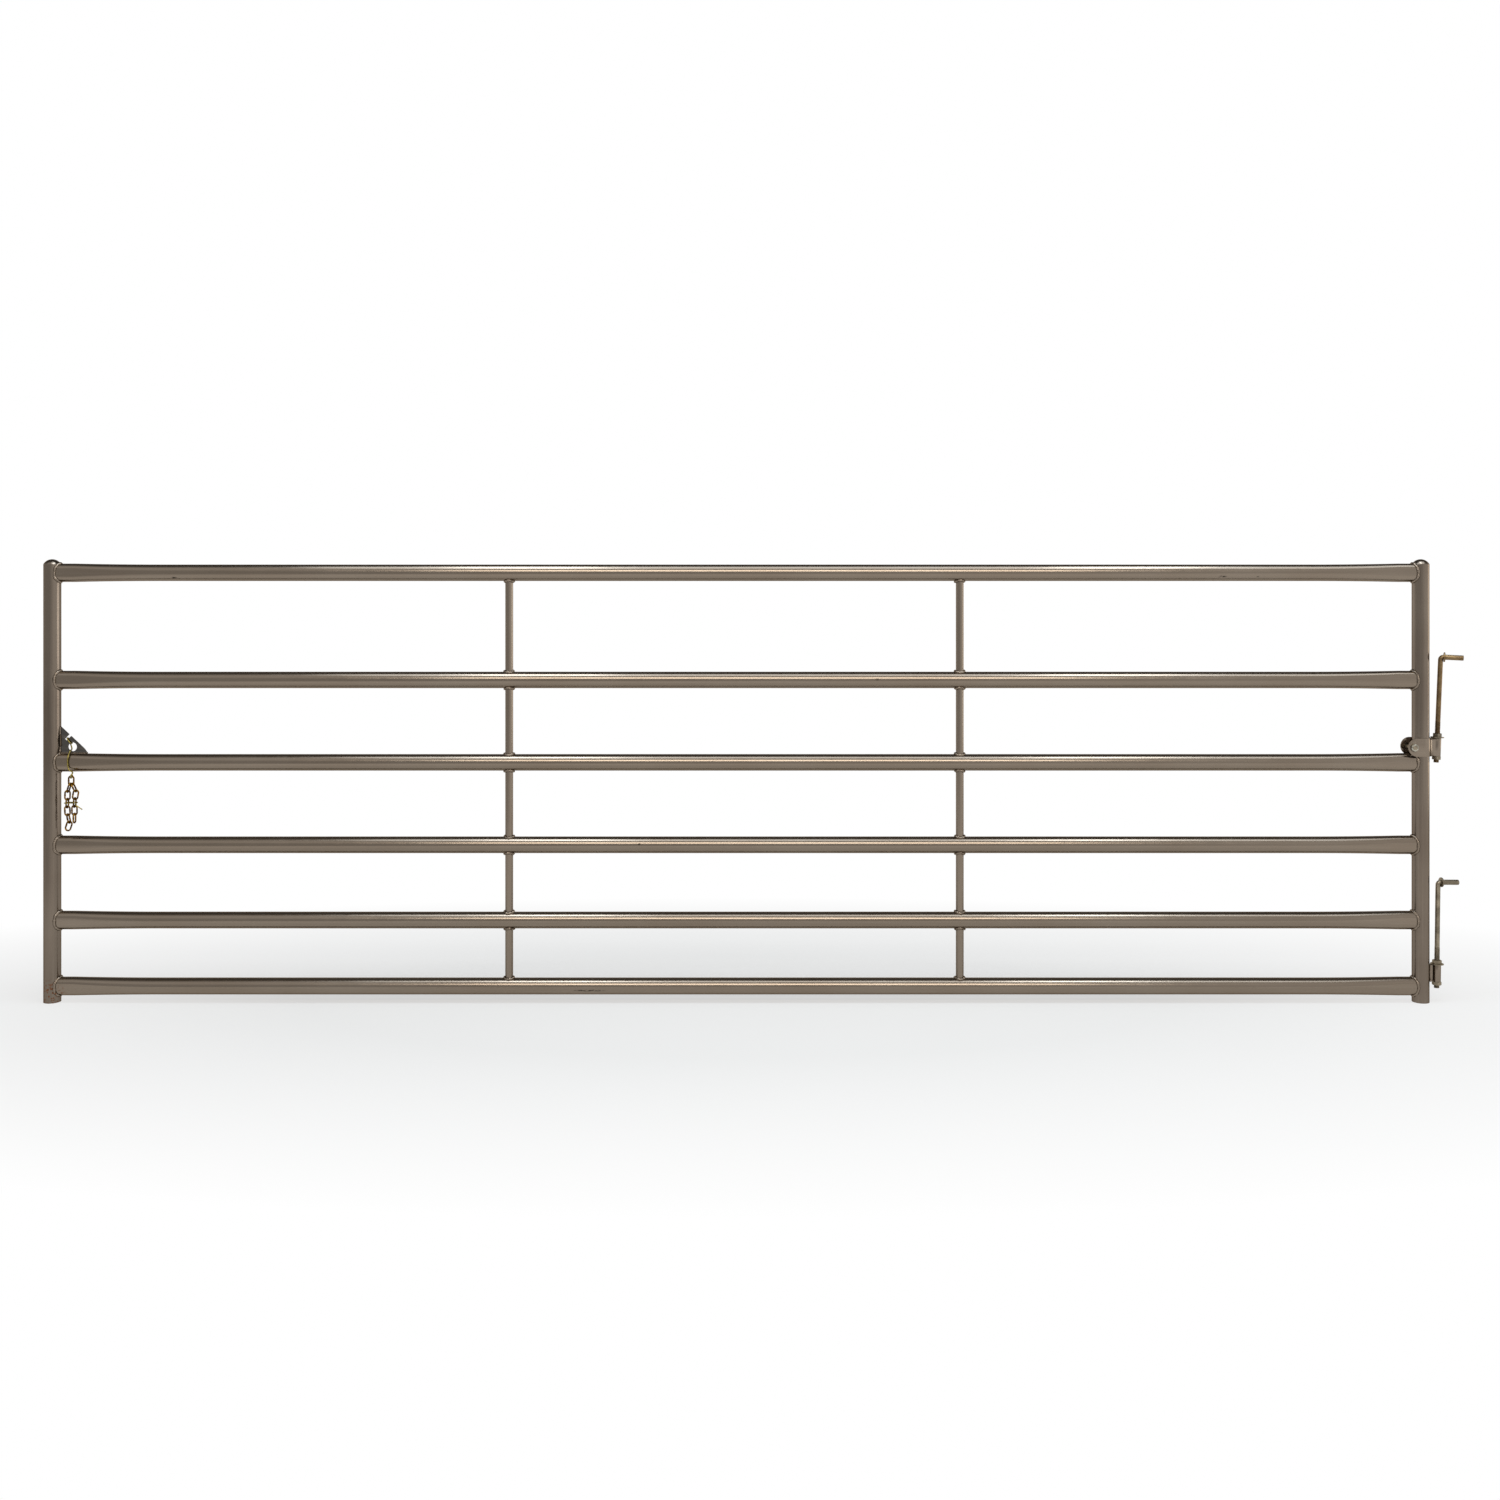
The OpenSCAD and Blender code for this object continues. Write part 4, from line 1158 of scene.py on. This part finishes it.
def pale_floor():
    """White to the eye, with the gate's shadow on the ground near it."""
    material, tree, shader, places = start_finish("pale_floor")
    shader.inputs["Base Color"].default_value = FLOOR_COLOUR
    shader.inputs["Roughness"].default_value = FLOOR_ROUGHNESS
    shader.inputs["Specular IOR Level"].default_value = FLOOR_SPECULAR
    gate_middle = (latch_post_at.x / 2, 0, 0)
    around = near(tree, places, gate_middle, (SHADOW_REACH + post_span / 2, SHADOW_REACH, 1))
    lit_share = combine(tree, "MULTIPLY", around, SHADOW_SHARE)
    white = combine(tree, "MULTIPLY", seen_directly(tree), combine(tree, "SUBTRACT", 1.0, lit_share))
    away = add_node(tree, "ShaderNodeVectorMath", operation="SUBTRACT")
    tree.links.new(places, away.inputs[0])
    away.inputs[1].default_value = gate_middle
    way = add_node(tree, "ShaderNodeVectorMath", operation="NORMALIZE")
    tree.links.new(away.outputs[0], way.inputs[0])
    spot = add_node(tree, "ShaderNodeSeparateXYZ", vector=places)
    slant = combine(tree, "MULTIPLY", spot.outputs["Y"], LEFT_SLANT)
    leftwards = combine(tree, "ADD", spot.outputs["X"], slant)
    pale = combine(tree, "MULTIPLY", span(tree, spot.outputs["Y"], FRONT_FADE, FRONT_WHITE),
                   span(tree, leftwards, LEFT_FADE, LEFT_WHITE))
    glow = tree.nodes.new("ShaderNodeEmission")
    tree.links.new(blend(tree, pale, wall_colour(tree, way.outputs[0]), WHITE), glow.inputs["Color"])
    # So wide a floor would take the lamps' share of the light samples
    material.cycles.emission_sampling = "NONE"
    mix_into(tree, "Material Output", white, shader, glow)
    return material


def studio_world():
    world = bpy.data.worlds.new("studio")
    bpy.context.scene.world = world
    world.use_nodes = True
    tree = world.node_tree
    lit = tree.nodes["Background"]
    lit.inputs["Color"].default_value = ROOM_LIGHT
    lit.inputs["Strength"].default_value = ROOM_STRENGTH
    seen = tree.nodes.new("ShaderNodeBackground")
    way = add_node(tree, "ShaderNodeTexCoord").outputs["Generated"]
    parts = add_node(tree, "ShaderNodeSeparateXYZ", vector=way)
    backwards = span(tree, parts.outputs["Y"], FRONT_UNTIL, BACK_FROM)
    ceiling = blend(tree, backwards, FRONT_CEILING, BACK_CEILING)
    upwards = span(tree, parts.outputs["Z"], WALL_TOP, CEILING_FROM)
    tree.links.new(blend(tree, upwards, wall_colour(tree, way), ceiling), seen.inputs["Color"])
    mix_into(tree, "World Output", seen_directly(tree), lit, seen)


def soft_lamp(name, place, target, size, power, colour):
    lamp = bpy.data.lights.new(name, "AREA")
    lamp.shape = "RECTANGLE"
    lamp.size, lamp.size_y = size
    lamp.energy = power
    lamp.color = colour
    holder = put_in_scene(name, lamp)
    holder.location = place
    holder.rotation_euler = (Vector(target) - Vector(place)).to_track_quat("-Z", "Y").to_euler()
    holder.visible_camera = False


class GATE_OT_stage(bpy.types.Operator):
    """Pale floor, soft lamps and the camera"""

    bl_idname = "gate.stage"
    bl_label = "Stage"

    def execute(self, context):
        clear_selection()
        bpy.ops.mesh.primitive_plane_add(size=FLOOR_SIZE)
        floor = bpy.context.object
        floor.name = "floor"
        floor.data.materials.append(pale_floor())
        studio_world()
        for name, settings in LAMPS.items():
            soft_lamp(name, *settings)
        lens = bpy.data.cameras.new("camera")
        lens.lens = CAMERA_LENS
        lens.sensor_width = CAMERA_SENSOR
        lens.shift_y = CAMERA_SHIFT
        camera = put_in_scene("camera", lens)
        camera.location = CAMERA_AT
        camera.rotation_euler = (math.pi / 2, 0, 0)
        context.scene.camera = camera
        context.scene.view_settings.view_transform = "Standard"
        return {"FINISHED"}


class GATE_PT_panel(bpy.types.Panel):
    """Lists the gate's pieces and its sizes and colours"""

    bl_idname = "GATE_PT_panel"
    bl_label = "Field gate"
    bl_space_type = "VIEW_3D"
    bl_region_type = "UI"
    bl_category = "Gate"

    def draw(self, context):
        for group in (context.scene.gate_sizes, context.scene.gate_colours):
            for name in group.__annotations__:
                self.layout.prop(group, name)
        for operator in OPERATORS:
            self.layout.operator(operator.bl_idname)


OPERATORS = [
    GATE_OT_stage, GATE_OT_frame_tubes, GATE_OT_rails, GATE_OT_rail_welds, GATE_OT_brace_welds,
    GATE_OT_latch_plate, GATE_OT_tie_wires, GATE_OT_chain, GATE_OT_hinge_straps, GATE_OT_hooks,
    GATE_OT_hook_nuts, GATE_OT_clamp,
]
CLASSES = [GateSizes, GateColours, *OPERATORS, GATE_PT_panel]


def register():
    for kind in CLASSES:
        bpy.utils.register_class(kind)
    bpy.types.Scene.gate_sizes = PointerProperty(type=GateSizes)
    bpy.types.Scene.gate_colours = PointerProperty(type=GateColours)


def unregister():
    del bpy.types.Scene.gate_colours
    del bpy.types.Scene.gate_sizes
    for kind in reversed(CLASSES):
        bpy.utils.unregister_class(kind)


def main():
    register()
    bpy.ops.gate.stage()
    bpy.ops.gate.frame_tubes()
    bpy.ops.gate.rails()
    bpy.ops.gate.rail_welds()
    bpy.ops.gate.brace_welds()
    bpy.ops.gate.latch_plate()
    bpy.ops.gate.tie_wires()
    bpy.ops.gate.chain()
    bpy.ops.gate.hinge_straps()
    bpy.ops.gate.hooks()
    bpy.ops.gate.hook_nuts()
    bpy.ops.gate.clamp()


if __name__ == "__main__":
    main()
